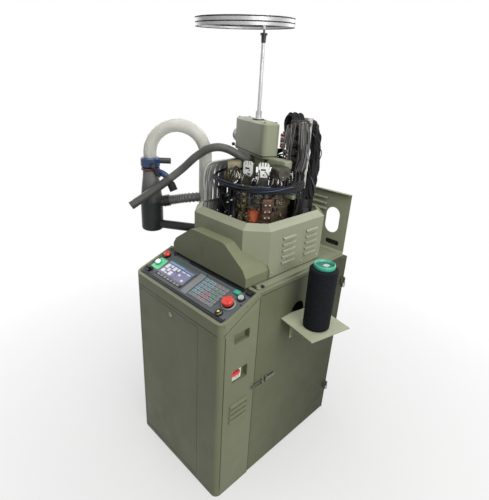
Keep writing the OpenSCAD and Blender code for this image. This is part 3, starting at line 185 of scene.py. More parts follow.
def tube_grid(path, radius, sides=12, ref=LOOSE_REF):
    """Points of a round bar: path + radius (cos t side + sin t over), with t round the bar."""
    path = np.asarray(path, float)
    side, over = cross_frame(path, ref)
    t = np.linspace(0, 2 * np.pi, sides, endpoint=False)[None, :, None]
    r = np.broadcast_to(np.asarray(radius, float), (len(path),))[:, None, None]
    return path[:, None] + r * (np.cos(t) * side[:, None] + np.sin(t) * over[:, None])


def bundle(name, routes, radius, finish, slot_name="black_plastic", sides=8):
    """Cables of one thickness: every route is smoothed and becomes one round bar of one mesh."""
    paths = [rail(np.asarray(route, float) * MM, 7) for route in routes]
    return add(name, np.stack([tube_grid(path, radius * MM, sides) for path in paths]), finish, slot_name)


print("path helpers ready")

# %% [markdown]
# ## Turned forms
# Knobs, screws and rings are turned on a lathe: a profile goes round an axis. Blender's screw
# modifier could do it, but a formula takes any axis at once. The helper takes one place or many,
# and the copies become one mesh, because a row of the same screws is one thing to the eye.

# %% Make turned forms
def mm(*values):
    """Millimetres to metres."""
    return np.array(values, float) * MM


def lathe_grid(profile, at, axis=UP, sides=40):
    """Points of a turned form: at + height axis + radius (cos t e1 + sin t e2)."""
    profile = np.asarray(profile, float)
    axis = unit(axis)
    helper = np.array([1.0, 0, 0]) if abs(axis[0]) < 0.9 else np.array([0, 1.0, 0])
    e1 = unit(np.cross(helper, axis))
    e2 = np.cross(axis, e1)
    t = np.linspace(0, 2 * np.pi, sides, endpoint=False)[None, :, None]
    r, h = profile[:, 0, None, None], profile[:, 1, None, None]
    return np.asarray(at, float) + h * axis + r * (np.cos(t) * e1 + np.sin(t) * e2)


def copies(grid, at):
    """The same grid at many places."""
    return grid[None] + np.atleast_2d(np.asarray(at, float))[:, None, None]


def turned(name, profile, at, finish, slot_name, axis=UP, sides=40, **how):
    """Turned pieces: rows of radius and height in millimetres, at places in metres."""
    form = lathe_grid(np.asarray(profile, float) * MM, (0, 0, 0), axis, sides)
    return add(name, copies(form, at), finish, slot_name, **how)


def band(r0, r1, h0, h1):
    """Square section of a flat ring: turned with its rows closed, it needs no caps."""
    return [(r0, h0), (r1, h0), (r1, h1), (r0, h1)]


DOME = np.array([(0.02, -0.2), (1, -0.2), (1, 0.18), (0.86, 0.42), (0.5, 0.58), (0.02, 0.62)])


def screws(name, at, axis, radius, finish, slot_name="bright_steel"):
    """Dome heads: a turned profile that climbs steeply at the rim and closes at the top."""
    return turned(name, radius * DOME, at, finish, slot_name, axis, 16)


print("turned forms ready")

# %% [markdown]
# ## Rounded blocks and boxes
# Cast blocks and key caps have soft edges. A bevel modifier on a cube would give them, but one
# formula for the whole surface needs no modifier and sets the softness with one number. Plain
# plates and strips are boxes with eight corners.

# %% Make rounded blocks and boxes
def pillow_grid(at, size, axes=np.eye(3), hard=0.28, rows=10, sides=24):
    """Points of a rounded block: size/2 times signed powers of sine and cosine along three
    axes, x = cos(v)^hard cos(u)^hard and so on, a superellipsoid that is nearly a box."""
    def power(s):
        return np.sign(s) * np.abs(s) ** hard
    v = np.linspace(-np.pi / 2 + 0.02, np.pi / 2 - 0.02, rows)[:, None]
    u = np.linspace(0, 2 * np.pi, sides, endpoint=False)[None]
    x, y = power(np.cos(v)) * power(np.cos(u)), power(np.cos(v)) * power(np.sin(u))
    z = power(np.sin(v)) * np.ones_like(u)
    local = np.stack([x, y, z], -1) * (np.asarray(size, float) / 2)
    return np.asarray(at, float) + local @ np.asarray(axes, float)


def pads(name, at, size, finish, slot_name, axes=np.eye(3), hard=0.28, **how):
    """Rounded blocks of one size in millimetres, at places in metres."""
    form = pillow_grid((0, 0, 0), mm(*size), axes, hard)
    return add(name, copies(form, at), finish, slot_name, **how)


def block_grids(at, size, axes=np.eye(3)):
    """Boxes: centre plus half the size times eight signs, stored as two rings of four points."""
    rows = (np.atleast_2d(np.asarray(each, float)) for each in (at, size))
    at, size = np.broadcast_arrays(*rows)
    ring = np.array([[-1, -1], [1, -1], [1, 1], [-1, 1]])
    sign = np.stack([np.column_stack([ring, np.full(4, level)]) for level in (-1, 1)])
    return at[:, None, None] + (sign[None] * size[:, None, None] / 2) @ np.asarray(axes, float)


def boxes(name, at, size, finish, slot_name, axes=np.eye(3)):
    """Sharp boxes: centres and sizes in millimetres."""
    grids = block_grids(np.array(at, float) * MM, np.array(size, float) * MM, axes)
    return add(name, grids, finish, slot_name, smooth=False)


print("blocks ready")

# %% [markdown]
# ## Finishes
# Real paint is never one flat colour: it varies slowly over a panel, carries a fine orange-peel
# grain, and gathers dust and oil. A photograph of paint could be wrapped on, but noise nodes need
# no picture. They read Object coordinates, which are metres in the machine's own frame, so one
# noise scale means the same size on every panel.

# %% Build node materials
class Finish:
    """A material with a Principled shader and a few shortcuts for wiring textures to it."""

    def __init__(self, name, colour, rough=0.5, metal=0.0, **sockets):
        self.mat = bpy.data.materials.new(name)
        self.mat.use_nodes = True
        self.tree = self.mat.node_tree
        self.shader = self.tree.nodes["Principled BSDF"]
        self.shader.inputs["Base Color"].default_value = (*colour, 1)
        self.shader.inputs["Roughness"].default_value = rough
        self.shader.inputs["Metallic"].default_value = metal
        for key, value in sockets.items():
            self.shader.inputs[key.replace("_", " ")].default_value = value
        self.mat.diffuse_color = (*colour, 1)
        self.coords = self.add("ShaderNodeTexCoord")

    def add(self, kind, **values):
        """A new node of one kind, with its settings."""
        made = self.tree.nodes.new(kind)
        for key, value in values.items():
            setattr(made, key, value)
        return made

    def link(self, a, b):
        """A wire from one socket to another."""
        self.tree.links.new(a, b)

    def place(self, scale=(1, 1, 1), at=(0, 0, 0)):
        """Object coordinates stretched and moved before a texture reads them."""
        mapping = self.add("ShaderNodeMapping")
        mapping.inputs["Scale"].default_value = scale
        mapping.inputs["Location"].default_value = at
        self.link(self.coords.outputs["Object"], mapping.inputs["Vector"])
        return mapping.outputs["Vector"]

    def noise(self, scale, detail=3.0, stretch=(1, 1, 1), rough=0.55):
        """Noise between 0 and 1 on the stretched coordinates, finer as the scale goes up."""
        made = self.add("ShaderNodeTexNoise")
        made.inputs["Scale"].default_value = scale
        made.inputs["Detail"].default_value = detail
        made.inputs["Roughness"].default_value = rough
        self.link(self.place(stretch), made.inputs["Vector"])
        return made.outputs["Fac"]

    def part(self, axis):
        """One of the Object coordinates X, Y and Z, in metres."""
        made = self.add("ShaderNodeSeparateXYZ")
        self.link(self.coords.outputs["Object"], made.inputs[0])
        return made.outputs[axis]

    def distance(self, vector):
        """Length of a coordinate vector, in metres."""
        made = self.add("ShaderNodeVectorMath", operation="LENGTH")
        self.link(vector, made.inputs[0])
        return made.outputs["Value"]

    def ramp(self, fac, low, high, start=0.3, stop=0.7):
        """A value that rises from low to high as fac goes from start to stop."""
        made = self.add("ShaderNodeMapRange")
        for key, value in zip(("From Min", "From Max", "To Min", "To Max"), (start, stop, low, high)):
            made.inputs[key].default_value = value
        self.link(fac, made.inputs["Value"])
        return made.outputs["Result"]

    def blend(self, fac, first, second):
        """Mixes two colours, each a triple or another node's colour."""
        made = self.add("ShaderNodeMix", data_type="RGBA")
        self.link(fac, made.inputs[0])
        for socket, value in ((made.inputs[6], first), (made.inputs[7], second)):
            if isinstance(value, bpy.types.NodeSocket):
                self.link(value, socket)
            else:
                socket.default_value = (*value, 1)
        return made.outputs[2]

    def mottle(self, scale, detail, first, second, start=0.3, stop=0.7, stretch=(1, 1, 1)):
        """Two tones mixed by noise: the second takes over as the noise goes from start to stop."""
        return self.blend(self.ramp(self.noise(scale, detail, stretch), 0, 1, start, stop), first, second)

    def change(self, value, start, stop, first, second, most=1.0):
        """Two tones that change over as a value goes from start to stop, up to a share of most."""
        return self.blend(self.ramp(value, 0, most, start, stop), first, second)

    def paint(self, colour):
        """The shader's colour comes from a node."""
        self.link(colour, self.shader.inputs["Base Color"])

    def gloss(self, rough):
        """The shader's roughness comes from a node."""
        self.link(rough, self.shader.inputs["Roughness"])

    def bump(self, height, strength=0.3, depth=0.001):
        """Small relief: a height between 0 and 1 times a depth in metres tilts the normals."""
        made = self.add("ShaderNodeBump")
        made.inputs["Strength"].default_value = strength
        made.inputs["Distance"].default_value = depth
        self.link(height, made.inputs["Height"])
        self.link(made.outputs["Normal"], self.shader.inputs["Normal"])


print("finish class ready")

# %% [markdown]
# ## Four recipes
# Most surfaces of the machine are sprayed enamel, moulded plastic, ground metal or an oily casting.
# Each could be a material of its own, but one recipe with a few settings keeps them alike: the same
# workshop sprayed all the panels.

# %% Write the recipes
def shade(colour, factor):
    """A colour made lighter or darker by a factor."""
    return tuple(min(1.0, c * factor) for c in colour)


def enamel(name, colour, rough=0.42, dirt=0.75, peel=900.0, fade=None, sheen=0.2):
    """Sprayed enamel: slow colour drift, oily smudges that darken it, fine specks and an
    orange-peel bump. A fade paints shade: it names an axis, two places on it and the darker
    tone that the paint reaches at the second place."""
    f = Finish(name, colour, rough, Specular_IOR_Level=sheen)
    tone = f.mottle(3.0, 4.0, shade(colour, 0.93), shade(colour, 1.06))
    if fade:
        axis, start, stop, darker = fade
        tone = f.change(f.part(axis), start, stop, tone, shade(colour, darker))
    smudge = f.ramp(f.noise(9.0, 6.0, (1, 1, 0.45), 0.65), 0.0, 1.0, 0.60, 0.80)
    tone = f.blend(smudge, tone, shade(colour, dirt))
    f.paint(f.mottle(170.0, 2.0, tone, shade(colour, 0.82), 0.70, 0.78))
    f.gloss(f.ramp(f.noise(14.0, 4.0), rough - 0.07, rough + 0.12))
    f.bump(f.noise(peel, 2.0), 0.12, 0.0006)
    return f.mat


def moulding(name, colour, rough=0.35, **sockets):
    """Moulded plastic: an almost even colour with a faint grain."""
    f = Finish(name, colour, rough, **sockets)
    f.paint(f.mottle(40.0, 3.0, shade(colour, 0.9), shade(colour, 1.08)))
    f.gloss(f.ramp(f.noise(60.0, 3.0), rough - 0.05, rough + 0.1))
    f.bump(f.noise(1400.0, 1.0), 0.08, 0.0003)
    return f.mat


def glow(name, colour, power, rough=0.3, light=None):
    """Moulded plastic that gives off a little light of its own colour, or of another."""
    return moulding(name, colour, rough, Emission_Color=(*(light or colour), 1), Emission_Strength=power)


def machined(name, colour, rough=0.3, stretch=(1, 1, 12), stain=0.6):
    """Ground steel: metal with fine streaks across one direction and brown oil stains."""
    f = Finish(name, colour, rough, 1.0)
    oily = tuple(c * stain * warm for c, warm in zip(colour, (1, 0.92, 0.8)))
    f.paint(f.mottle(35.0, 5.0, colour, oily, 0.5, 0.75))
    f.gloss(f.ramp(f.noise(220.0, 3.0, stretch), rough - 0.1, rough + 0.18))
    f.bump(f.noise(500.0, 2.0, stretch), 0.06, 0.0003)
    return f.mat


def casting(name, colour, metal=0.35, rough=0.5):
    """Oily sand casting: blotched colour, a coarse grain and glossy wet patches."""
    f = Finish(name, colour, rough, metal)
    blotch = f.ramp(f.noise(26.0, 6.0, rough=0.7), 0.0, 1.0)
    f.paint(f.blend(blotch, shade(colour, 0.55), shade(colour, 1.45)))
    f.gloss(f.ramp(f.noise(18.0, 5.0), rough - 0.22, rough + 0.15))
    f.bump(f.noise(420.0, 4.0), 0.3, 0.0008)
    return f.mat


print("recipes ready")

# %% [markdown]
# ## Paints and castings
# The cabinet is olive and the guards are paler. The door's olive is darker, and darker still
# towards the rear, which is painted shade; the shelf's paint is a lighter copy of the guards'
# paint, which is painted light falling on its top. The head is brown and gold casting, and its
# finger units are gold on one side and dark on the other. Colours are written in linear light,
# as Blender's sockets expect them, so the numbers look dark.

# %% Mix the paints and castings
OLIVE = (0.160, 0.173, 0.107)
PALE_OLIVE = (0.245, 0.258, 0.180)
olive_paint = enamel("olive_paint", OLIVE)
pale_paint = enamel("pale_olive_paint", PALE_OLIVE, 0.38)
# The door's paint is the olive made darker, and darker still towards the rear: both are painted shade where
# the door lies in shadow.
door_paint_and_shade = enamel("door_paint_and_shade", shade(OLIVE, 0.80), fade=("Y", -0.24, 0.26, 0.42), sheen=0.06)
# The shelf's paint is the pale paint made lighter: painted light falling on the shelf's top.
shelf_paint_and_light = enamel("shelf_paint_and_light", (0.33, 0.345, 0.245), 0.38)
rim_paint = enamel("rim_paint", shade(OLIVE, 1.08), 0.40)
bed_paint = enamel("bed_paint", (0.205, 0.216, 0.148), 0.4, 0.6)
frame_paint = enamel("dark_frame_paint", (0.035, 0.035, 0.034), 0.5)
box_paint = enamel("control_box_paint", (0.36, 0.37, 0.36), 0.45)
grey_film = enamel("grey_film", (0.098, 0.114, 0.118), 0.36, 0.85, 2000.0)
brown_casting = casting("brown_casting", (0.090, 0.066, 0.041))
gold_casting = casting("gold_casting", (0.125, 0.108, 0.052), 0.45, 0.42)
finger_casting = Finish("unit_casting", (0.085, 0.072, 0.040), 0.42, 0.4)
gold_tone = finger_casting.mottle(30.0, 6.0, (0.055, 0.046, 0.024), (0.150, 0.128, 0.066))
dark_tone = finger_casting.mottle(45.0, 5.0, (0.020, 0.018, 0.015), (0.085, 0.080, 0.058))
finger_casting.paint(finger_casting.change(finger_casting.part("X"), -0.03, 0.03, gold_tone, dark_tone))
finger_casting.bump(finger_casting.noise(420.0, 4.0), 0.3, 0.0008)
print("paints and castings:", len(bpy.data.materials))

# %% [markdown]
# ## Metals and plastics
# Shafts and screws are ground steel with oil stains. The hoop and its post are plated and worn, so
# they are only partly metal: a full mirror would vanish against the white ground. The plastics
# differ in colour and gloss alone.

# %% Choose the metals and plastics
steel = machined("ground_steel", (0.42, 0.41, 0.385))
dark_steel = machined("dark_steel", (0.20, 0.195, 0.185))
chrome = machined("chrome_plate", (0.44, 0.45, 0.455), 0.16, (1, 1, 3), 0.85)
aluminium = machined("anodised_aluminium", (0.30, 0.285, 0.255), 0.42)
bright_plate = Finish("bright_plate", (0.42, 0.425, 0.43), 0.34, 0.3, Specular_IOR_Level=0.3)
bright_plate.gloss(bright_plate.ramp(bright_plate.noise(30.0, 4.0), 0.24, 0.46))
post_plate = Finish("post_plate", (0.60, 0.605, 0.61), 0.30, 0.3, Specular_IOR_Level=0.3)
worn_post = post_plate.mottle(14.0, 4.0, (0.52, 0.525, 0.53), (0.34, 0.34, 0.34), 0.45, 0.65)
POST_CAP = (1.790, 1.793)
post_plate.paint(post_plate.change(post_plate.part("Z"), *POST_CAP, worn_post, (0.035, 0.037, 0.036)))
black_plastic = moulding("black_plastic", (0.012, 0.012, 0.013), 0.42, Specular_IOR_Level=0.25)
black_rubber = moulding("black_rubber", (0.014, 0.014, 0.015), 0.62, Specular_IOR_Level=0.15)
motor_paint = moulding("motor_black", (0.018, 0.018, 0.020), 0.5, Specular_IOR_Level=0.2)
red_plastic = moulding("red_plastic", (0.62, 0.035, 0.022), 0.28)
white_plastic = moulding("white_plastic", (0.76, 0.77, 0.73), 0.35)
dim_white = moulding("dim_white_plastic", (0.40, 0.43, 0.41), 0.35)
yellow_plastic = moulding("yellow_plastic", (0.78, 0.70, 0.25), 0.3)
orange_plastic = moulding("orange_plastic", (0.90, 0.22, 0.10), 0.4)
green_plastic = moulding("green_plastic", (0.045, 0.36, 0.24), 0.35)
blue_plastic = moulding("blue_plastic", (0.011, 0.034, 0.11), 0.35)
lamp_white = glow("lamp_white", (0.80, 0.92, 0.86), 0.55, 0.25, (0.85, 1.0, 0.93))
print("finishes:", len(bpy.data.materials))

# %% [markdown]
# ## Three solids with two tones
# The valve bank is grimy with a pale face at its rear. The suction tee is smoky plastic, dark below
# and paler above. The valve is blue, with a dark flange where it is farther from its own axis. Each
# could be cut in two pieces, but a change of tone at a measured place keeps the solid whole.

# %% Finish the valve bank, the tee and the valve
TEE_AT = (-420, -280)
bank = Finish("valve_bank", (0.06, 0.056, 0.05), 0.5, 0.2, Specular_IOR_Level=0.2)
grime = bank.mottle(60.0, 4.0, (0.024, 0.021, 0.018), (0.085, 0.078, 0.068))
bank.paint(bank.change(bank.part("Y"), 0.1145, 0.1165, grime, (0.50, 0.49, 0.46)))
smoky = Finish("smoky_tee", (0.05, 0.055, 0.053), 0.16, Specular_IOR_Level=0.25)
smoky.paint(smoky.change(smoky.part("Z"), 1.12, 1.26, (0.016, 0.019, 0.0185), (0.17, 0.17, 0.158)))
smoky.gloss(smoky.ramp(smoky.noise(12.0, 4.0), 0.1, 0.4))
valve_blue = Finish("valve_blue", (0.011, 0.034, 0.11), 0.35)
from_axis = valve_blue.distance(valve_blue.place((1, 1, 0), (-TEE_AT[0] * MM, -TEE_AT[1] * MM, 0)))
grimy = valve_blue.mottle(30.0, 5.0, (0.007, 0.018, 0.055), (0.016, 0.050, 0.150))
valve_blue.paint(valve_blue.change(from_axis, 0.045, 0.047, grimy, (0.02, 0.021, 0.022)))
print("two-tone finishes ready")

# %% [markdown]
# ## Finishes for the solids
# Each solid of the frame keeps its shape and gets one finish. A line for each solid would do, but
# then a shared paint is written many times, so the list goes by finish, as a paint shop would sort
# the parts.

# %% Paint the solids
PAINT_LIST = (
    (olive_paint, "left_panel rear_panel console_shell front_panel side_recesses front_hood head_column"),
    (pale_paint, "guard_right guard_left rear_guard_panel gear_cover"),
    (door_paint_and_shade, "side_door"), (shelf_paint_and_light, "yarn_shelf"), (rim_paint, "console_bezel"),
    (bed_paint, "machine_bed"), (frame_paint, "base_frame"), (box_paint, "control_box"),
    (grey_film, "control_plate"), (brown_casting, "cylinder_housing cam_box yarn_ring_plate"),
    (finger_casting.mat, "finger_units"), (dark_steel, "latch_lever latch_bail"),
    (steel, "door_hinges needle_cylinder needles sinker_cap dial saw_disc yarn_fingers_a"),
    (steel, "yarn_fingers_b lay_shaft bearings motor_rotor"), (aluminium, "panel_lock"),
    (post_plate.mat, "yarn_post"), (bright_plate.mat, "yarn_ring"), (motor_paint, "drive_motor"),
    (black_plastic, "display_window console_trim selector_knob valve_lever"),
    (black_rubber, "yarn_package drive_belts grey_hose cable_loom"),
    (red_plastic, "emergency_stop stop_button main_switch"), (white_plastic, "finger_plates clear_hose"),
    (dim_white, "reset_button"), (lamp_white, "start_button"), (yellow_plastic, "inch_button"),
    (orange_plastic, "orange_guide"), (green_plastic, "cone_tube"), (bank.mat, "valve_tower"),
    (smoky.mat, "suction_tee"), (valve_blue.mat, "suction_valve"),
)
painted = [(name, finish) for finish, names in PAINT_LIST for name in names.split()]
for name, finish in painted:
    node[name].data.materials.clear()
    node[name].data.materials.append(finish)
print("solids painted:", len(painted))

# %% [markdown]
# ## The control panel's slope
# The console slopes down to the front. Its pieces are easiest to place on the slope itself, across and
# uphill, so one function turns such a place into metres in the frame. Turning each object by hand
# would also do, but then every place would need a second sum.

# %% Set up places on the console
CONSOLE_FOOT = np.array([0, -462, 872])
CONSOLE_RUN, CONSOLE_RISE, PLATE_SINK = 190, 73, 8
SLOPE = np.arctan2(CONSOLE_RISE, CONSOLE_RUN)
CONSOLE_AXES = np.array([[1, 0, 0], [0, np.cos(SLOPE), np.sin(SLOPE)], [0, -np.sin(SLOPE), np.cos(SLOPE)]])
CONSOLE_OUT = CONSOLE_AXES[2]


def on_console(across, uphill, lift=0.0):
    """Point on the control plate: across and up the slope in millimetres, lifted off the film."""
    local = np.stack(np.broadcast_arrays(across, uphill, lift - PLATE_SINK * np.cos(SLOPE)), -1)
    return (local @ CONSOLE_AXES + CONSOLE_FOOT) * MM


def flat(name, rects, low, high, finish, slot_name="panel_film"):
    """Flat blocks on the control plate, from rows of x0, x1, v0, v1 and two heights."""
    x0, x1, v0, v1 = np.asarray(rects, float).T
    at = on_console((x0 + x1) / 2, (v0 + v1) / 2, (low + high) / 2)
    size = np.column_stack([x1 - x0, v1 - v0, np.full(len(x0), high - low)]) * MM
    return add(name, block_grids(at, size, CONSOLE_AXES), finish, slot_name, smooth=False)


def centred(x, v, half_x, half_v):
    """Rows of x0, x1, v0, v1 from centres and half sizes."""
    return np.stack(np.broadcast_arrays(x - half_x, x + half_x, v - half_v, v + half_v), -1)


print("console slope:", round(float(np.degrees(SLOPE)), 1), "degrees")

# %% [markdown]
# ## Keys
# Thirty-six keys of a membrane keypad lie in a field with a printed outline. Their caps are pillow
# forms in four tints, each with a plain dark mark. One grid is copied to every place, since all the
# caps come from one mould.

# %% Make the keypad
KEYS = 6
KEYS_AT, KEYS_W, KEYS_H = 98, 136, 104
key_i, key_j = (index.ravel() for index in np.meshgrid(np.arange(KEYS), np.arange(KEYS), indexing="ij"))
key_x = KEYS_AT + (key_i - 2.5) * KEYS_W / KEYS
key_v = KEYS_AT + (key_j - 2.5) * KEYS_H / KEYS
sky_key = (key_i < 2) & (key_j > 0) | (key_i == 2) & (key_j > 2)
rose_key = (key_i > 1) & (key_i < 4) & (key_j < 3) | (key_i == 3) & (key_j == 5)
leaf_key = (key_i == 4) & (key_j > 1) & (key_j < 4)
stone_film = moulding("stone_key", (0.20, 0.215, 0.22), 0.4)
key_form = pillow_grid((0, 0, 0), mm(20.2, 14.8, 3.0), CONSOLE_AXES, 0.3, 8, 20)
for name, chosen, film in (
    ("sky_keys", sky_key, moulding("sky_key", (0.20, 0.29, 0.32), 0.4)),
    ("rose_keys", rose_key, moulding("rose_key", (0.27, 0.19, 0.20), 0.4)),
    ("leaf_keys", leaf_key, moulding("leaf_key", (0.12, 0.25, 0.175), 0.4)),
    ("stone_keys", ~(sky_key | rose_key | leaf_key), stone_film),
):
    add(name, copies(key_form, on_console(key_x, key_v, 1.2)[chosen]), film, "panel_film")
ink = moulding("panel_ink", (0.03, 0.035, 0.04), 0.45)
flat("key_marks", centred(key_x, key_v, 4, 1.2), 2.2, 2.75, ink)
function_x = -176 + 22 * np.arange(7)
flat("function_keys", centred(function_x, 52, 8, 5), 1.9, 3.6, stone_film)
print("keys:", len(key_i) + len(function_x))

# %% [markdown]
# ## Display
# The screen glows faintly and shows a table of plain fields. A picture on a plane would need an
# image file, so the fields are thin blocks in three tones, one above the other.

# %% Make the display
screen_white = glow("screen_white", (0.52, 0.51, 0.60), 0.35)
white_rects = [
    (-190, -170, 94, 120), (-190, -170, 70, 88), (-165, -149, 108, 120), (-165, -149, 84, 102),
    (-143, -123, 98, 120), (-143, -123, 70, 92), (-117, -104, 106, 120), (-92, -70, 113, 118),
    (-60, -38, 113, 118), (-92, -78, 90, 99), (-56, -42, 73, 82), (-165, -149, 70, 77),
]
lilac_rects = [(-98, -32, 66, 121), (-119, -102, 70, 98)]
title_rects = [(-194, -92, 126, 135), (-88, -29, 126, 130)]
frame_rects = [(-198, -23, 59, 62), (-198, -23, 136, 138.5), (-198, -195, 59, 138), (-27, -23, 59, 138)]
for name, rects, low, high, finish in (
    ("display_picture", [(-195, -27, 62, 136)], 1.9, 2.2, glow("screen_dark", (0.085, 0.085, 0.14), 0.35)),
    ("picture_white_fields", white_rects, 2.1, 2.45, screen_white),
    ("picture_lilac_fields", lilac_rects, 2.1, 2.35, glow("screen_lilac", (0.15, 0.15, 0.25), 0.35)),
    ("picture_title_bar", title_rects, 2.1, 2.5, glow("screen_blue", (0.14, 0.27, 0.38), 0.45)),
    ("display_frame", frame_rects, 1.9, 3.0, moulding("display_frame", (0.13, 0.145, 0.155), 0.35)),
):
    flat(name, rects, low, high, finish, "display")
print("display fields:", len(white_rects) + len(lilac_rects))

# %% [markdown]
# ## Buttons and printed film
# The film has printed outlines and a pale band. A lit green plate carries the start button, collars
# stand round the buttons, and a mushroom head covers the stop button. Print could be a pattern in
# the film's finish, but thin blocks are placed by the same rule as the keys. Pieces on a button
# ride on that button's body, so that they go down with it.

# %% Make the film's print and the buttons' trim
flat("pale_film_band", [(-12, 22, 40, 154)], 0.0, 0.35,
     enamel("pale_film", (0.215, 0.23, 0.235), 0.36, 0.9, 2000.0))
outline = [(25, 171, 40.0, 41.4), (25, 171, 155.6, 157), (25, 26.4, 40, 157), (169.6, 171, 40, 157),
           (-206, -14, 38.6, 40), (-206, -14, 152, 153.4), (-206, -204.6, 39, 153), (-15.4, -14, 39, 153)]
flat("printed_outlines", outline, 0.0, 0.4, ink)
lit_green = glow("lit_green_plate", (0.08, 0.45, 0.20), 0.30)
flat("green_start_plate", [(-260, -206, 66, 128)], 0.0, 0.8, lit_green)
turned("start_collar", band(11.6, 16.5, 0.5, 6.6), on_console(-243, 98), green_plastic, "black_plastic",
       CONSOLE_OUT, along=True)
mushroom = [(0.3, 9.6), (9, 9.6), (14.5, 10.4), (16.6, 12.2), (16.2, 14.8), (12.8, 17.2), (7, 18.4),
            (0.3, 18.7)]
turned("stop_mushroom", mushroom, on_console(-243, 150), red_plastic, "red_plastic", CONSOLE_OUT,
       body="stop_button")
turned("inch_button_rim", band(5.2, 11.2, 9.5, 12.4), on_console(214, 46), black_plastic, "black_plastic",
       CONSOLE_OUT, 32, body="inch_button", along=True)
turned("emergency_collar", band(21.2, 27.5, 0.0, 5.2), on_console(216, 94),
       moulding("pale_collar", (0.24, 0.25, 0.25), 0.3), "white_plastic", CONSOLE_OUT, along=True)
knob = [(0.3, 0), (9, 0), (9, 3), (7, 4), (6.4, 15), (5, 17), (0.3, 17)]
turned("panel_knob", knob, on_console(-214, 178), black_plastic, "black_plastic", CONSOLE_OUT, 24)
flat("green_lamp_block", [(190, 215, 146, 164)], 0, 9, green_plastic)
flat("black_socket_block", [(232, 258, 168, 186)], 0, 11, black_plastic, "black_plastic")
pin_x = -251 + 9.85 * np.arange(52)
flat("strip_pins", centred(pin_x, 25, 1.4, 1.4), 2.0, 3.3, moulding("pin_grey", (0.07, 0.07, 0.07), 0.5),
     "black_plastic")
plate_screw_at = on_console(np.array([-254, 254, 254, -228, 20]), np.array([36, 36, 118, 178, 160]), 0)
screws("panel_screws", plate_screw_at, CONSOLE_OUT, 3.6, black_plastic, "black_plastic")
print("strip pins:", len(pin_x), "panel screws:", len(plate_screw_at))

# %% [markdown]
# ## Clear suction hose
# The big hose is milky and clear and arches from the tee down to the bed. A solid bar of clear
# plastic would look like glass, so the hose has a wall with an outer and an inner face. It stands
# for a stiff duct of the solid model.

# %% Make the clear hose
def sleeve(path, radius, wall, ref, sides=28):
    """A pipe with a wall: the outer rows run along the path and the inner rows run back."""
    radius = np.broadcast_to(np.asarray(radius, float), (len(path),))
    outer, inner = tube_grid(path, radius, sides, ref), tube_grid(path, radius - wall, sides, ref)
    return np.concatenate([outer, inner[::-1]])


def arch_path(a, b, low_a, spring, low_b, steps=48):
    """Straight up at a, over to b in a half circle of half their distance, and straight down."""
    a, b = np.array(a, float), np.array(b, float)
    t = np.linspace(0, np.pi, steps)[:, None]
    centre, half = (a + b) / 2, np.linalg.norm(b - a) / 2
    arc = np.hstack([centre + (a - centre) * np.cos(t), spring + half * np.sin(t)])
    rise = np.column_stack([np.tile(a, (6, 1)), np.linspace(low_a, spring, 7)[:-1]])
    fall = np.column_stack([np.tile(b, (18, 1)), np.linspace(spring, low_b, 19)[1:]])
    return np.vstack([rise, arc, fall]) * MM


milky = Finish("milky_hose", (0.80, 0.805, 0.77), 0.16, Transmission_Weight=0.6, IOR=1.25)
milky.paint(milky.mottle(9.0, 4.0, (0.62, 0.62, 0.58), (0.80, 0.80, 0.76)))
milky.bump(milky.noise(30.0, 3.0), 0.1, 0.002)
arch = arch_path(TEE_AT, (-262, -95), 1306, 1342, 940.3)
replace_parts(add("milky_suction_hose", sleeve(arch, 0.0285, 0.0026, (-185, 158, 0)), milky.mat,
                "clear_plastic", along=True), "clear_hose")
print("clear hose rows:", len(arch))

# %% [markdown]
# ## Grey suction hose
# The thin grey hose leaves the head, where it is ribbed, and ends in a dark cuff in front of the tee.
# Ribs could be a bump in the finish, but then its outline would stay smooth. So the radius itself
# goes up and down with the length of hose that has been run.

# %% Make the grey hose
RIB_PITCH, CUFF_LENGTH, CUFF_LAP = 0.0075, 0.215, 6
grey_line = [(-66.9, -5.3, 1350), (-70.6, -14.6, 1350), (-76.6, -29.4, 1350),
             (-124, -98, 1390), (-172, -142, 1388), (-230, -176, 1346),
             (-290, -210, 1282), (-350, -292, 1202), (-396, -400, 1126)]
grey_path = rail(np.array(grey_line) * MM, 26)
run = np.concatenate([[0], np.cumsum(np.linalg.norm(np.diff(grey_path, axis=0), axis=1))])
ribbed = np.clip((0.20 - run) / 0.04, 0, 1)
grey_radius = 0.0168 + ribbed * 0.0009 * np.sin(2 * np.pi * run / RIB_PITCH)
hose_grey = Finish("hose_grey", (0.15, 0.152, 0.142), 0.42, Specular_IOR_Level=0.2)
worn = hose_grey.mottle(22.0, 4.0, (0.070, 0.071, 0.066), (0.110, 0.112, 0.104))
hose_grey.paint(hose_grey.change(hose_grey.part("X"), -0.25, -0.32, worn, (0.140, 0.142, 0.134), 0.75))
cuff_from = int(np.searchsorted(run, run[-1] - CUFF_LENGTH))
shown = slice(0, cuff_from + CUFF_LAP)
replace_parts(add("grey_suction_hose", sleeve(grey_path[shown], grey_radius[shown], 0.003, UP), hose_grey.mat,
                "hose_rubber", along=True), "grey_hose")
add("hose_cuff", sleeve(grey_path[cuff_from:], 0.0182, 0.0045, UP),
    moulding("cuff_rubber", (0.042, 0.043, 0.041), 0.5), "hose_rubber", along=True)
print("grey hose:", round(float(run[-1]), 3), "m long")

# %% [markdown]
# ## Fittings of the suction unit
# A dull red band clamps the tee, a ribbed branch leaves it for the big hose, and a blue elbow with a
# rubber plug stands off the valve. A bump would leave the branch's outline smooth, so its ribs are a
# sine added to the radius, as on the grey hose.

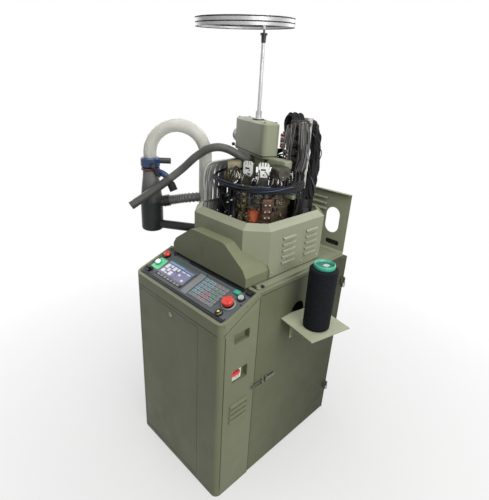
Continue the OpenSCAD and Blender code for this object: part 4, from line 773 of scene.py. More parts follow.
# %% Make the clamp, the branch and the elbow
turned("red_clamp_band", band(34, 40.8, 0.0, 9.5), mm(*TEE_AT, 1268),
       moulding("red_clamp", (0.075, 0.016, 0.018), 0.4), "red_plastic", sides=48, along=True)
branch_line = [(-372, -223, 1129), (-352, -203, 1134), (-322, -168, 1142), (-274, -111, 1151)]
branch_path = rail(np.array(branch_line) * MM, 22)
branch_rib = 0.0022 * np.sin(np.arange(len(branch_path)) * 2 * np.pi / 4.5)
add("branch_hose", tube_grid(branch_path, 0.021 + branch_rib, 24),
    moulding("branch_grey", (0.085, 0.088, 0.085), 0.4), "hose_rubber")
elbow = [(-392, -262, 1262), (-362, -252, 1256), (-336, -244, 1240), (-322, -240, 1216)]
bundle("blue_elbow", [elbow], 14, blue_plastic, "blue_plastic", 20)
plug = [(-324, -241, 1220), (-316, -238, 1206), (-308, -235, 1190)]
bundle("elbow_plug", [plug], 17.5, black_rubber, "hose_rubber", 20)
print("branch hose rows:", len(branch_path))

# %% [markdown]
# ## Yarn on its cone
# The yarn is wound crosswise on a green cone that stands on the shelf. Thousands of real threads
# would be slow, so the package is a turned form whose surface rises and falls along two crossing
# sets of windings. It rides on the door, as the shelf does.

# %% Wind the yarn
def corners(name):
    """Lowest and highest corner of a solid's box, as arrays."""
    return (np.array(list(corner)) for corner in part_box(name))


YARN_PROUD, YARN_TAPER, WINDING = 0.0060, 0.0022, 0.00065
pack_low, pack_high = corners("yarn_package")
pack_mid, pack_r = (pack_low + pack_high) / 2, (pack_high[0] - pack_low[0]) / 2
pack_top = pack_high[2] + 0.008
pack_hole = pack_r - 0.0145


def wound_yarn(rows=150, sides=220):
    """A radius that grows a little upwards, minus a rounding at both ends, plus a winding height
    times the larger of sin(20 t + 120 h) and sin(20 t - 120 h), with t round and h up the package.
    The first and last row are the hole's edges."""
    h = np.linspace(0, 1, rows)[:, None]
    t = np.linspace(0, 2 * np.pi, sides, endpoint=False)[None]
    edge = np.clip(np.minimum(h, 1 - h) / 0.035, 0, 1)
    r = pack_r + YARN_PROUD + YARN_TAPER * h - 0.008 * (1 - np.sqrt(edge)) ** 2
    r = r + WINDING * np.maximum(np.sin(20 * t + 120 * h), np.sin(20 * t - 120 * h))
    z = pack_low[2] + h * (pack_top - pack_low[2]) + 0 * t
    r = np.concatenate([pack_hole + 0 * t, r, pack_hole + 0 * t])
    z = np.concatenate([pack_low[2] + 0 * t, z, pack_top + 0 * t])
    return np.stack([pack_mid[0] + r * np.cos(t), pack_mid[1] + r * np.sin(t), z], -1)


yarn_black = Finish("black_yarn", (0.010, 0.011, 0.0125), 0.9, Specular_IOR_Level=0.12)
yarn_black.paint(yarn_black.mottle(160.0, 4.0, (0.004, 0.0045, 0.0060), (0.014, 0.0155, 0.0185),
                                   stretch=(1, 1, 3)))
yarn_black.bump(yarn_black.noise(900.0, 3.0), 0.5, 0.0008)
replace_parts(add("wound_yarn", wound_yarn(), yarn_black.mat, "yarn", "side_door", along=True),
            "yarn_package")
print("yarn package:", round((pack_r + YARN_PROUD) / MM, 1), "mm in radius")

# %% [markdown]
# ## Top of the cone
# The cone's green rim stands out of the yarn. Its lip is a turned profile that closes on itself, a
# dark green disc across the opening is painted shade down inside the cone, and a scrap of pale
# paper lies on it. A hole cut into the solid would be truer, but the disc looks the same from above.

# %% Finish the cone
tube_low, tube_high = corners("cone_tube")
tube_top = np.array([*(tube_low + tube_high)[:2] / 2, tube_high[2]])
rim_r = (tube_high[0] - tube_low[0]) / 2 / MM
rim = np.array([(-4, -7.5), (4.2, -7.5), (5.6, -5), (5.6, 6), (4.4, 8.6), (1.6, 9.2), (0.6, 7.6),
                (0.6, -1), (-4, -1)])
turned("cone_rim", rim + [rim_r, 0], tube_top, green_plastic, "tube_card", sides=64,
       body="side_door", along=True)
# A dark green disc across the cone's opening: painted shade down inside the cone.
turned("cone_shade_disc", band(0.3, rim_r + 0.4, 0.4, 1.2), tube_top,
       moulding("cone_shade_green", (0.016, 0.10, 0.075), 0.5), "tube_card", body="side_door", smooth=False)
pads("cone_paper", tube_top + mm(4, 5, 1.6), (20, 26, 1.0),
     moulding("pale_green_paper", (0.36, 0.46, 0.42), 0.6), "tube_card", hard=0.4, body="side_door")
print("cone rim:", round(rim_r, 1), "mm in radius")

# %% [markdown]
# ## Looms of cable
# A loom of thin strands winds about the solid cable, and a thick conduit comes down behind. A strand
# is the path plus a small circle that turns slowly as it goes along. Strands made one by one would
# look tidy, so a slow wave lets them lie unevenly.

# %% Wind the looms
def polar(radius, degrees, height):
    """A point of the knitting head from its radius, direction and height, in millimetres."""
    a = np.radians(degrees)
    return np.stack(np.broadcast_arrays(radius * np.cos(a), radius * np.sin(a), height), -1)


def strands(name, path_mm, offset, radius, count, twist, finish, spread=0.25):
    """Strand k runs along the path, shifted by offset (cos q, sin q) with q = 2 pi k / count plus a
    slow twist, and the offset itself swells by a slow wave, so that the strands lie unevenly."""
    path = rail(np.asarray(path_mm, float) * MM, 7)
    side, over = cross_frame(path, LOOSE_REF)
    s = np.linspace(0, 1, len(path))[:, None]
    grids = []
    for k in range(count):
        q = 2 * np.pi * k / count + twist * 2 * np.pi * s + 0.5 * np.sin(7 * s + k)
        swell = offset * MM * (1 + spread * np.sin(9 * s * np.pi + 2.4 * k))
        grids.append(tube_grid(path + swell * (np.cos(q) * side + np.sin(q) * over), radius * MM, 7))
    return add(name, np.stack(grids), finish, "black_plastic")


grey_cable = moulding("grey_cable", (0.20, 0.20, 0.195), 0.45)
dark_cable = moulding("dark_cable", (0.06, 0.06, 0.062), 0.5)
pale_cable = moulding("pale_cable", (0.34, 0.34, 0.33), 0.45)
white_tube = moulding("white_tube", (0.60, 0.61, 0.60), 0.35)
brown_tube = moulding("brown_tube", (0.085, 0.062, 0.048), 0.45)
blue_tube = moulding("blue_tube", (0.02, 0.06, 0.18), 0.4)
loom_line = np.vstack([[(122, 75, 1318), (124, 75, 1310), (150, 72, 1290)],
                       polar(177, np.array([14, -12, -38, -64, -90, -116, -142, -160]), 1268),
                       [(-165, -72, 1218), (-172, -62, 1100), (-176, -56, 1000)]])
conduit_line = [(110, 158, 1498), (110, 172, 1494), (110, 193, 1455), (110, 210, 1370),
                (110, 204, 1270), (110, 198, 1190)]
strands("loom_strands", loom_line, 9.2, 3.0, 9, 1.6, black_rubber)
strands("loom_blue_strands", loom_line, 11.5, 1.5, 3, 2.3, blue_tube)
strands("conduit_strands", conduit_line, 19.0, 5.2, 10, 0.7, black_rubber, 0.16)
strands("conduit_grey_strands", conduit_line, 23.0, 2.2, 3, 0.9, dark_cable)
print("loom stations:", len(loom_line), "conduit stations:", len(conduit_line))

# %% [markdown]
# ## Leads of the valve bank
# Air tubes arch over the valve bank, and leads climb its front and its right side. A route is a row
# of stations. Each station gives x, y and z of all the leads at once, with sines of the lead's
# number in place of chance, so that the leads cross a little and are the same in each run.

# %% Lay the leads of the bank
def routes(*stations):
    """Cable routes from stations: each gives x, y and z for all cables, in millimetres."""
    return np.stack([np.stack(np.broadcast_arrays(*station), -1) for station in stations], 1)


def sorted_leads(all_routes, slot_name, *kinds):
    """Leads dealt out in turn to kinds, each with a name, a radius and a finish."""
    kind = np.arange(len(all_routes)) % len(kinds)
    for i, (name, radius, finish) in enumerate(kinds):
        bundle(name, all_routes[kind == i], radius, finish, slot_name)


sin, cos = np.sin, np.cos
k = np.arange(14)
over_bank = routes((112 + 3 * sin(k), 36 + 5.4 * k, 1500),
                   (104 - 2 * cos(k), 36 + 5.2 * k, 1534 + 5 * sin(2 * k)),
                   (82 + 4 * sin(3 * k), 36 + 4.6 * k, 1540 + 6 * sin(k)),
                   (64 + 5 * sin(2 * k), 40 + 4.0 * k, 1500 + 8 * cos(k)),
                   (70 + 6 * cos(k), 46 + 3.2 * k, 1440 + 9 * sin(k)),
                   (92 + 4 * sin(k), 50 + 2.6 * k, 1376 + 9 * cos(2 * k)),
                   (112 + 3 * cos(k), 56 + 1.6 * k, 1326))
bundle("valve_tubes", over_bank, 3.4, black_rubber)
k = np.arange(12)
bank_x = 84 + 3.9 * k
bank_leads = routes((bank_x + 2 * sin(4 * k), 30, 1334 + 8 * sin(k)),
                    (bank_x + 3 * cos(2 * k), 20 + 2 * sin(5 * k), 1392 + 7 * cos(k)),
                    (bank_x + 3 * sin(3 * k), 21 + 2 * cos(2 * k), 1452 + 7 * sin(2 * k)),
                    (bank_x + 2 * cos(5 * k), 30, 1500 + 14 * sin(3 * k)))
sorted_leads(bank_leads, "black_plastic", ("brown_bank_leads", 2.0, brown_tube),
             ("grey_bank_leads", 1.5, grey_cable), ("dark_bank_leads", 2.3, dark_cable))
k = np.arange(26)
riser_y = 27 + 2.9 * k
risers = routes((142, riser_y, 1326 - 8 * cos(k)),
                (151 + 3 * cos(3 * k), riser_y + 3 * sin(2 * k), 1390 + 6 * sin(k)),
                (149 + 3 * sin(2 * k), riser_y + 3 * cos(4 * k), 1450 + 6 * cos(k)),
                (142, 28 + 2.8 * k + 2 * sin(k), 1508 + 12 * sin(3 * k)))
sorted_leads(risers, "black_plastic", ("black_risers", 3.0, black_rubber), ("grey_risers", 2.5, dark_cable),
             ("brown_risers", 2.3, brown_tube), ("pale_risers", 1.6, grey_cable))
print("bank leads:", len(over_bank) + len(bank_leads) + len(risers))

# %% [markdown]
# ## Fall of tubes and front cable
# A fall of pale tubes comes out of the arm and goes down to the bed on the left, and a pair of black
# cables goes round the front of the head. The fall has three tints in turn, because one tint would
# run together into a sheet.

# %% Lay the fall and the front cable
BED_TOP = 941
k = np.arange(33)
fall_y = -146 + 4.6 * k
fall = routes((-205 + 4 * sin(3 * k), fall_y, BED_TOP), (-209 + 4 * sin(2 * k), fall_y + 4 * sin(k), 1080),
              (-209 + 4 * cos(2 * k), fall_y + 4 * cos(k), 1180),
              (-207 + 4 * sin(k), fall_y + 4 * sin(2 * k), 1264 + 6 * sin(k)),
              (-192 + 4 * cos(k), 0.92 * fall_y + 3 * cos(k), 1316 + 6 * cos(k)),
              (-150 + 4 * sin(k), 0.5 * fall_y + 24, 1338),
              (-118 + 3 * sin(k), 0.12 * fall_y + 46, 1352 + 6 * sin(2 * k)))
sorted_leads(fall, "clear_plastic", ("white_fall", 3.3, white_tube), ("pale_fall", 3.3, pale_cable),
             ("grey_fall", 3.3, grey_cable))
front_cable = np.vstack([[(-150, 30, 1285), (-196, -20, 1282)],
                         polar(206, np.array([-158, -138, -118, -100, -84]), 1277),
                         [(70, -178, 1272), (130, -124, 1270), (172, -50, 1272), (178, 20, 1284),
                          (150, 62, 1310)]])
bundle("front_cable", [front_cable, front_cable * [0.97, 0.97, 1] + [0, 0, 7]], 3.6, black_rubber)
print("tubes in the fall:", len(fall))

# %% [markdown]
# ## Loose leads
# Dark leads tangle beside the gear cover, hang down to the bed at the right, knot together next to
# the ring plate and run out from the finger units. They could be curves drawn by hand, but routes of
# stations, as before, can be checked in millimetres.

# %% Lay the loose leads
k = np.arange(12)
tangle = routes((6 + 4 * sin(5 * k), 74 + 3 * cos(k), 1338 + 5 * k),
                (26 + 5 * cos(3 * k), 88 + 5 * sin(2 * k), 1348 + 5 * k + 6 * sin(k)),
                (52 + 5 * sin(2 * k), 92 + 5 * cos(4 * k), 1334 + 5 * k + 8 * cos(2 * k)),
                (88 + 4 * cos(k), 84 + 4 * sin(k), 1344 + 6 * k))
bundle("cover_tangle", tangle, 3.0, black_rubber)
k = np.arange(9)
hang = routes((126 + 4 * sin(k), 30 + 4 * k, 1310), (176 + 5 * sin(2 * k), 22 + 5 * k, 1262 + 5 * cos(k)),
              (186 + 4 * cos(k), 10 + 6 * k, 1200 + 8 * sin(k)),
              (168 + 5 * sin(k), 6 + 7 * k, 1130 + 6 * cos(3 * k)),
              (150 + 4 * cos(k), 8 + 8 * k, 1060), (146 + 4 * cos(k), 12 + 8 * k, BED_TOP))
bundle("hanging_leads", hang, 2.8, black_rubber)
k = np.arange(16)
knot = routes((116 + 10 * sin(2 * k), 34 + 5 * k, 1336 + 6 * sin(k)),
              (142 + 9 * cos(k), 28 + 4.6 * k, 1312 + 9 * cos(3 * k)),
              (160 + 7 * sin(3 * k), 14 + 3.6 * k, 1288 + 9 * sin(2 * k)),
              (171 + 6 * cos(2 * k), -16 + 2.4 * k, 1276 + 7 * cos(k)),
              (170 + 5 * sin(k), -52 + 1.6 * k, 1272 + 6 * sin(4 * k)))
bundle("cable_knot", knot, 3.6, black_rubber)
a = np.linspace(-148, 10, 13) + 5 * sin(9 * np.arange(13))  # directions of the leads, in degrees
unit_leads = np.stack([polar(112 + 6 * sin(7 * a), a, 1318 + 14 * sin(3 * a)),
                       polar(140 + 5 * cos(5 * a), a + 2, 1326 + 12 * cos(4 * a)),
                       polar(162 + 4 * sin(2 * a), a + 4, 1302 + 8 * sin(a)),
                       polar(175, a + 8, 1276 + 4 * cos(a))], 1)
bundle("unit_leads", unit_leads, 2.0, black_rubber)
print("loose leads:", len(tangle) + len(hang) + len(knot) + len(unit_leads))

# %% [markdown]
# ## Air cylinders
# Small air cylinders hang in a row at the left of the head, each with a rod, two fittings and a thin
# tube. Stacked cylinders would do, but one turned profile takes in the caps and steps at once. Each
# kind is one mesh with a copy at every place.

# %% Make the air cylinders
AIR = np.array([-153, -143, -133, -123, -113, -103.0])
AIR_R = np.array([139, 133, 141, 134, 141, 135.0])
AIR_Z = np.array([1118, 1096, 1112, 1124, 1100, 1116.0])
air_at = polar(AIR_R, AIR, AIR_Z) * MM
air_body = [(0.3, 0), (9, 0), (11, 2), (11, 18), (9.6, 20), (9.6, 76), (11, 78), (11, 92), (8, 95), (4, 96),
            (4, 100), (0.3, 100)]
turned("air_cylinders", air_body, air_at, motor_paint, "motor_black", sides=20)
air_rod = [(0.2, 98), (3, 98), (3, 150), (5.6, 151), (5.6, 158), (0.2, 158)]
turned("air_rods", air_rod, air_at, steel, "bright_steel", sides=12)
fitting = [(0.2, 0), (4.5, 0), (4.5, 7), (3, 8), (3, 14), (0.2, 14)]
fitting_at = np.concatenate([air_at + mm(2, -10, h) for h in (14, 84)])
turned("air_fittings", fitting, fitting_at, steel, "bright_steel", (0.3, -0.9, 0.1), 12)
second, third = np.arange(len(AIR)) % 2, np.arange(len(AIR)) % 3
feed = np.stack([polar(150 + 4 * second, AIR, 1132 + 70 * second),
                 polar(170 + 6 * third, AIR - 3, 1150 + 40 * third),
                 polar(172, AIR - 8, 1215 + 9 * second), polar(172 - 4 * second, AIR - 12, 1262)], 1)
bundle("air_tubes", feed, 2.2, black_rubber)
print("air cylinders:", len(AIR))

# %% [markdown]
# ## On the ring plate
# Gold spools, bolts, return springs, bent levers and terminal blocks crowd the plate round the
# needles. A spring is a thin bar along a coil, which needs no screw modifier.

# %% Make what stands on the ring plate
def springs(name, at, radius, length, turns, wire, finish):
    """Coil springs: a bar along radius (sin t, -cos t) across, rising evenly, in metres."""
    t = np.linspace(0, 2 * np.pi * turns, turns * 12 + 1)
    line = np.column_stack([radius * np.sin(t), -radius * np.cos(t), t / t[-1] * length])
    grids = np.stack([tube_grid(place + line, wire, 6, (0.3, 0.2, 0)) for place in at])
    return add(name, grids, finish, "bright_steel")


PLATE_TOP = 1271
spool_at = polar(142, np.array([-148, -139, -130, -121.0]), PLATE_TOP + 1) * MM
spool = [(0.2, 0), (7, 0), (7, 3), (4.8, 5), (4.8, 30), (7, 32), (7, 36), (3, 38), (2.4, 48), (0.2, 48.5)]
pale_gold = machined("pale_gold", (0.62, 0.52, 0.28), 0.35)
turned("gold_spools", spool, spool_at, pale_gold, "gold_paint", sides=20)
bolt_at = polar(138, 10 + 45.0 * np.arange(8), PLATE_TOP + 0.5) * MM
screws("ring_plate_bolts", bolt_at, UP, 6.2, steel)
spring_r = np.array([112, 118, 110, 120, 116, 113, 118.0])
spring_a = np.array([-100, -96, -22, -28, -62, -60, 2.0])
spring_at = polar(spring_r, spring_a, PLATE_TOP + 1) * MM
springs("return_springs", spring_at, 0.0042, 0.034, 8, 0.0008, chrome)
a = np.array([-108, -92, -84, -66, -58, -34, -26, -4, 6.0])  # directions of the levers, in degrees
lever_line = np.stack([polar(128, a, PLATE_TOP + 3), polar(146, a + 2, 1292 + 10 * sin(a)),
                       polar(140, a + 5, 1318 + 12 * cos(a))], 1)
bundle("head_levers", lever_line, 2.4, steel, "bright_steel")
terminal_at = polar(132, np.array([-92, -60, -30, -21, -4, 5.0]), 1283)
boxes("terminal_blocks", terminal_at, (20, 16, 22), black_plastic, "black_plastic")
screws("terminal_screws", terminal_at * MM + mm(0, 0, 11), UP, 4.0, steel)
print("springs:", len(spring_at), "levers:", len(a), "terminals:", len(terminal_at))

# %% [markdown]
# ## Walls of the head
# Behind the needles stand curved drum walls with ribs, a gearbox and valve blocks. A wall could be cut
# out of a pipe, but here it is a box section turned through a part of a circle, so nothing needs to
# be cut.

# %% Make the walls
def curved_plate(r0, r1, first, last, z0, z1, steps=40):
    """Part of a drum wall: corners (r0, z0), (r1, z0), (r1, z1), (r0, z1) turned between two angles."""
    a = np.radians(np.linspace(first, last, steps))[:, None]
    r, z = np.array([r0, r1, r1, r0], float)[None], np.array([z0, z0, z1, z1], float)[None]
    return np.stack([r * np.cos(a), r * np.sin(a), z + 0 * a], -1) * MM


def outward(degrees):
    """Three axes at a direction of the head: outward, along the rim and up."""
    a = np.radians(degrees)
    return np.array([[np.cos(a), np.sin(a), 0], [-np.sin(a), np.cos(a), 0], [0, 0, 1]])


WALL_Z = (1062, 1258)
for name, wall, finish in (
    ("rear_drum_wall", curved_plate(112, 120, -26, 84, *WALL_Z), brown_casting),
    ("left_drum_wall", curved_plate(117, 121, -178, -104, *WALL_Z), frame_paint),
):
    add(name, wall, finish, "head_casting", smooth=False)
boxes("valve_manifold", [(168, 74, 1058.5), (172, 30, 1011), (150, 96, 1130)],
      [(44, 40, 237), (34, 40, 142), (40, 30, 150)], motor_paint, "motor_black")
pads("rear_gearbox", mm(16, 152, 1089.5), (130, 34, 300), brown_casting, "head_casting", hard=0.12)
drum_ribs = np.stack([curved_plate(118, 126, -24, 82, z, z + 9) for z in (1100, 1180, 1240)])
add("drum_ribs", drum_ribs, gold_casting, "gold_paint", smooth=False)
print("drum ribs:", len(drum_ribs))

# %% [markdown]
# ## Carrier and clamps
# At the front right a rusty carrier holds five steps with two screws each. Gold clamps sit on the cam
# box, and springs hang between the cams and the plate. All stand square to the head's own direction
# there, so their axes come from one function of the angle.

# %% Make the carrier and the clamps
carrier_axes = outward(-34)
rust_casting = casting("rust_casting", (0.085, 0.038, 0.024), 0.3, 0.45)
pads("yarn_carrier_block", polar(122, -36, 1150) * MM, (30, 44, 150), rust_casting, "head_casting",
     carrier_axes, 0.18)
step_at = polar(139, -36, np.array([1096, 1120, 1146, 1172, 1200.0])) * MM
pads("carrier_steps", step_at, (10, 30, 14), brown_casting, "head_casting", carrier_axes, 0.3)
step_screws = np.concatenate([step_at + mm(5, 9 * side, 0) @ carrier_axes for side in (-1, 1)])
screws("carrier_screws", step_screws, carrier_axes[0], 3.8, steel)
CLAMPS = ((103, -100, 1140), (105, -89, 1156), (103, -10, 1140))
clamp_at = np.stack([polar(*place) for place in CLAMPS]) * MM
pads("cam_clamps", clamp_at, (16, 24, 34), gold_casting, "gold_paint", hard=0.3)
clamp_screws = np.concatenate([clamp_at + mm(4, -11, h) for h in (-8, 8)])
screws("cam_clamp_screws", clamp_screws, (0.25, -1, 0), 4.4, steel)
hanging_at = polar(118, np.array([-104, -92, -70, -52, -16, -2]), 1186) * MM
springs("hanging_springs", hanging_at, 0.0045, 0.079, 11, 0.0009, steel)
print("carrier steps:", len(step_at), "clamps:", len(clamp_at))

# %% [markdown]
# ## Crowded small blocks
# Between the larger pieces the head is full of cams, stops and pins. Modelling each by hand would
# take days, so blocks of a few finishes are drawn at random from ranges, always with the same seed.
# Each block is rooted in the cam box, in a carrier ring or on the plate, so that none floats.

# %% Write the scattering function
rng = np.random.default_rng(11)
CAM_R, CAM_TOP = 92, 1160
RING_IN, RING_OUT, RING_Z = 106, 122, np.array([1176, 1204, 1232.0])


def scatter(name, count, degrees, radius, height, sizes, finish, slot_name, hard=0.25,
            root=None, foot=None):
    """Small blocks at random places on a drum: direction, radius, height and size are drawn evenly
    from ranges. With a root, a block reaches inwards to that radius, or to a carrier ring when it
    is higher than the cams, and with a foot it stands on that height."""
    at_a, at_r, at_z = (rng.uniform(*span, count) for span in (degrees, radius, height))
    size = rng.uniform(sizes[0], sizes[1], (count, 3))
    lean = rng.uniform(-20, 20, count)
    if root is not None:
        high, outer = at_z > CAM_TOP, at_r + size[:, 0] / 2
        at_z = np.where(high, RING_Z[np.abs(at_z[:, None] - RING_Z).argmin(1)] + 2.5, at_z)
        inner = np.where(high, RING_IN + 2, root)
        at_r, size[:, 0], lean = (outer + inner) / 2, outer - inner, 0 * lean
    if foot is not None:
        top = at_z + size[:, 2] / 2
        at_z, size[:, 2] = (top + foot) / 2, top - foot
    grids = [pillow_grid(polar(r, a, z) * MM, s * MM, outward(a + b), hard, 8, 16)
             for a, r, z, s, b in zip(at_a, at_r, at_z, size, lean)]
    return add(name, np.stack(grids), finish, slot_name)


print("three rings at", RING_Z, "mm")

# %% [markdown]
# ## Cams, stops and pins
# Brown, gold, black and bright blocks fill the front of the cam box, in the mix that the photograph
# shows: gold to the left, dark to the right. They could share one finish, but the mix of metals makes
# the head look assembled. Bent pins and low blocks stand on the ring plate.

# %% Fill the head with small blocks
carrier_rings = np.stack([curved_plate(RING_IN, RING_OUT, -107, -22, z, z + 5) for z in RING_Z])
add("carrier_rings", carrier_rings, brown_casting, "head_casting", smooth=False)
scatter("cam_blocks", 26, (-104, 4), (122, 130), (1100, 1246), ((6, 8, 8), (12, 22, 26)),
        brown_casting, "head_casting", root=CAM_R)
scatter("gold_cam_blocks", 16, (-104, -74), (122, 131), (1100, 1240), ((6, 8, 8), (12, 18, 26)),
        gold_casting, "gold_paint", root=CAM_R)
scatter("dark_cam_blocks", 18, (-66, -12), (124, 134), (1120, 1250), ((6, 6, 6), (12, 14, 24)),
        motor_paint, "motor_black", root=CAM_R)
scatter("bright_cam_bits", 34, (-108, 6), (130, 137), (1110, 1250), ((3, 3, 3), (6, 6, 9)),
        steel, "bright_steel", 0.6, root=CAM_R)
PINS, PIN_R = 36, (124, 160)
pin_a = np.concatenate([rng.uniform(-122, -92, 16), rng.uniform(-30, 16, 20)])
pin_foot = polar(rng.uniform(*PIN_R, PINS), pin_a, PLATE_TOP + 1)
pin_bend = polar(rng.uniform(*PIN_R, PINS), pin_a + 2, rng.uniform(1284, 1300, PINS))
pin_tip = polar(rng.uniform(*PIN_R, PINS), pin_a + rng.uniform(-4, 4, PINS), rng.uniform(1304, 1322, PINS))
pin_line = np.stack([pin_foot, pin_bend, pin_tip], 1)
bundle("plate_pins", pin_line, 1.7, steel, "bright_steel")
scatter("plate_bits", 22, (-124, -94), (126, 164), (1276, 1312), ((4, 4, 4), (9, 9, 14)),
        gold_casting, "gold_paint", 0.4, foot=PLATE_TOP)
scatter("plate_dark_bits", 22, (-30, 18), (126, 164), (1276, 1318), ((5, 5, 5), (12, 12, 16)),
        motor_paint, "motor_black", 0.35, foot=PLATE_TOP)
print("scattered pins:", PINS)

# %% [markdown]
# ## Finger plates, brackets and reels
# The white guide plates of the yarn fingers have dark slots. They could be cut, but thin dark blocks
# laid on the plates look the same from here. Two olive brackets reach in from the right, and a rod
# behind the cover carries a stack of small reels.

# %% Mark the finger plates and add brackets and reels
FINGER_PLATE_R = 122
MARKS = ((3.2, -2, 1338, 19, 6), (3.2, 7, 1330, 6, 4), (-0.7, 0, 1360.5, 34, 8))
marks = []
for a in (-76, -46):
    for lift, along, z, wide, tall in MARKS:
        mark_at = polar(FINGER_PLATE_R + lift, a, z) + along * outward(a)[1]
        marks.append(block_grids(mark_at * MM, mm(0.7, wide, tall), outward(a)))
add("finger_plate_marks", np.concatenate(marks), black_plastic, "black_plastic", smooth=False)
pads("nose_bracket", mm(92, -8, 1357), (104, 46, 34), pale_paint, "olive_paint", hard=0.22)
pads("lower_bracket", mm(146, 34, 1232), (52, 66, 18), pale_paint, "olive_paint", hard=0.2)
REEL_AT = (24, 88)
reel_at = np.array([(*REEL_AT, 1404 + 11.5 * i) for i in range(5)]) * MM
reel = band(4, 12.5, 0.0, 10.5)
pink_plastic = moulding("pink_plastic", (0.50, 0.13, 0.13), 0.4)
turned("red_reel_rings", reel, reel_at[::2], pink_plastic, "red_plastic", sides=24, along=True)
turned("white_reel_rings", reel, reel_at[1::2], white_plastic, "white_plastic", sides=24, along=True)
reel_rod = [(*REEL_AT, 1470), (*REEL_AT, 1430), (*REEL_AT, 1396), (50, 92, 1384), (100, 100, 1380)]
bundle("reel_rod", [reel_rod], 4.2, steel, "bright_steel", 10)
print("finger plate marks:", len(marks), "reels:", len(reel_at))

# %% [markdown]
# ## Arm and cover
# A finned motor sits at the rear end of the arm, a rubber seal runs under the gear cover, and dark
# screws hold the cover. Each place could be worked out in the frame, but it is easier to give it
# along and across the arm, which points to the left rear, and to turn it once.

# %% Make the arm's motor and the cover's trim
ARM_AXES = outward(158)
MOTOR_Z = 1424
POST_AT = (-70.5, 28.5)


def along_arm(x, y, z):
    """A point from its distance along the arm, across it and its height, in millimetres."""
    return (np.stack(np.broadcast_arrays(x, y, z), -1).astype(float) @ ARM_AXES) * MM


def clipped(s, half):
    """A sine stretched and cut off at plus and minus half, which squares a circle's corners."""
    return np.clip(1.35 * half * s, -half, half)


fins = [(30 if i % 2 else 33, 2 + 4 * i + d) for i in range(9) for d in (0, 3.6)]
turned("end_motor", [(0.3, 0), (30, 0), *fins, (28, 40), (0.3, 41)], along_arm(242, 0, MOTOR_Z),
       moulding("pale_motor", (0.50, 0.51, 0.53), 0.4), "aluminium", ARM_AXES[0], 36)
turned("motor_rings", band(29.5, 31.8, 0, 2.8), along_arm(247 + 8 * np.arange(4), 0, MOTOR_Z), blue_tube,
       "aluminium", ARM_AXES[0], 36, along=True)
turned("cover_knob", [(0.3, 0), (7, 0), (7, 10), (5, 12), (0.3, 12)], along_arm(238, 38, 1386),
       black_plastic, "black_plastic", ARM_AXES[1], 20)
t = np.linspace(0, 2 * np.pi, 160, endpoint=False)
seal = along_arm(90 + clipped(np.cos(t), 151.6), clipped(np.sin(t), 37.8), 1379.6)
add("cover_seal", tube_grid(seal, 0.0017, 6, UP), black_rubber, "hose_rubber", along=True)
cover_screws = along_arm(np.array([-40, -40, 60, 224, 224.0]), np.array([-24, 24, -24, -24, 24.0]), 1507.5)
screws("cover_screws", cover_screws, UP, 4.6, black_plastic)
turned("post_seal", band(13, 24.5, 0.0, 3.5), mm(*POST_AT, 1508.2), black_rubber, "hose_rubber", along=True)
print("motor fins:", len(fins) // 2, "cover screws:", len(cover_screws))

# %% [markdown]
# ## Bands of the hoop
# The yarn hoop hangs off the top of its post and droops a little. Three dark bands on its outside and
# inside are thin rings about the hoop's tilted axis, so the hoop itself stays one bright piece.

# %% Make the hoop's bands
DROOP, HEADING, HOOP_OFF = np.radians(5), np.radians(-70), 0.1725
level = np.array([np.cos(HEADING), np.sin(HEADING), 0])
hoop_axis = np.sin(DROOP) * level + np.cos(DROOP) * np.array(UP)
hoop_at = mm(*POST_AT, 1838.3) + HOOP_OFF * (np.cos(DROOP) * level - np.sin(DROOP) * np.array(UP))
HOOP_BANDS = ((-0.4, 2.4), (9.2, 4.6), (22.8, 4.4))
bands = [lathe_grid(np.array(band(r0, r1, h, h + deep)) * MM, hoop_at, hoop_axis, 128)
         for h, deep in HOOP_BANDS for r0, r1 in ((172.0, 173.4), (170.7, 171.4))]
add("hoop_bands", np.stack(bands), black_rubber, "chrome", along=True)
print("hoop bands:", len(bands))

# %% [markdown]
# ## Seams and screws of the cabinet
# Sheet-metal panels meet in narrow dark gaps. Here each gap is a thin dark strip a fraction of a
# millimetre proud of the paint, which reads as a gap and leaves the solids whole. A thin dark line
# round the foot of the guard is painted shadow in the gap under the guard's lower edge.

# %% Make the seams and screws
SIDE_X, FRONT_Y = 280, -462
OUT = np.array([1.0, 0, 0])
seam_axis = unit([0, 186.0, 186 * np.tan(SLOPE) + 30])
boxes("rim_seam", (SIDE_X + 0.2, FRONT_Y + 98, 876), (1.0, 196, 1.6), frame_paint, "olive_paint",
      np.stack([OUT, seam_axis, np.cross(OUT, seam_axis)]))
boxes("cabinet_seams",
      [(SIDE_X + 0.2, -441, 430), (SIDE_X + 0.1, -272, 470), (SIDE_X + 0.4, 26, 926.2),
       (0, FRONT_Y - 0.2, 823.4)],
      [(1.0, 1.8, 780), (1.0, 2.6, 905), (1.2, 584, 2.2), (520, 1.0, 1.6)], frame_paint, "frame_paint")
# A dark line round the guard's foot: painted shadow in the narrow gap under the guard's lower edge.
guard_foot = np.array([(-145, -247), (145, -247), (220, -172), (220, 172), (145, 247)], float)
part = np.linspace(0, 1, 12, endpoint=False)[None, :, None]
foot_path = (guard_foot[:-1, None] + part * np.diff(guard_foot, axis=0)[:, None]).reshape(-1, 2) * 1.004
foot_line = np.column_stack([foot_path, np.full(len(foot_path), BED_TOP + 0.2)]) * MM
add("guard_foot_shadow", tube_grid(foot_line, 0.0016, 6), frame_paint, "frame_paint")
boxes("rear_slot_plug", (192, 321.7, 973), (80, 6, 30), black_plastic, "black_plastic")
rim_places = np.array([(SIDE_X + 0.3, uphill, -10) for uphill in (14, 70, 130, 186)])
screws("rim_screws", (rim_places @ CONSOLE_AXES + CONSOLE_FOOT) * MM, OUT, 3.6, rim_paint, "rim_paint")
print("rim screws:", len(rim_places))

# %% [markdown]
# ## Main switch and bolts
# A white plate lies at the back of the switch's recess, and a white collar stands round the handle.
# A Boolean could cut their holes, but rows that go from a disc to a rounded square give the hole and
# the outline in one grid.

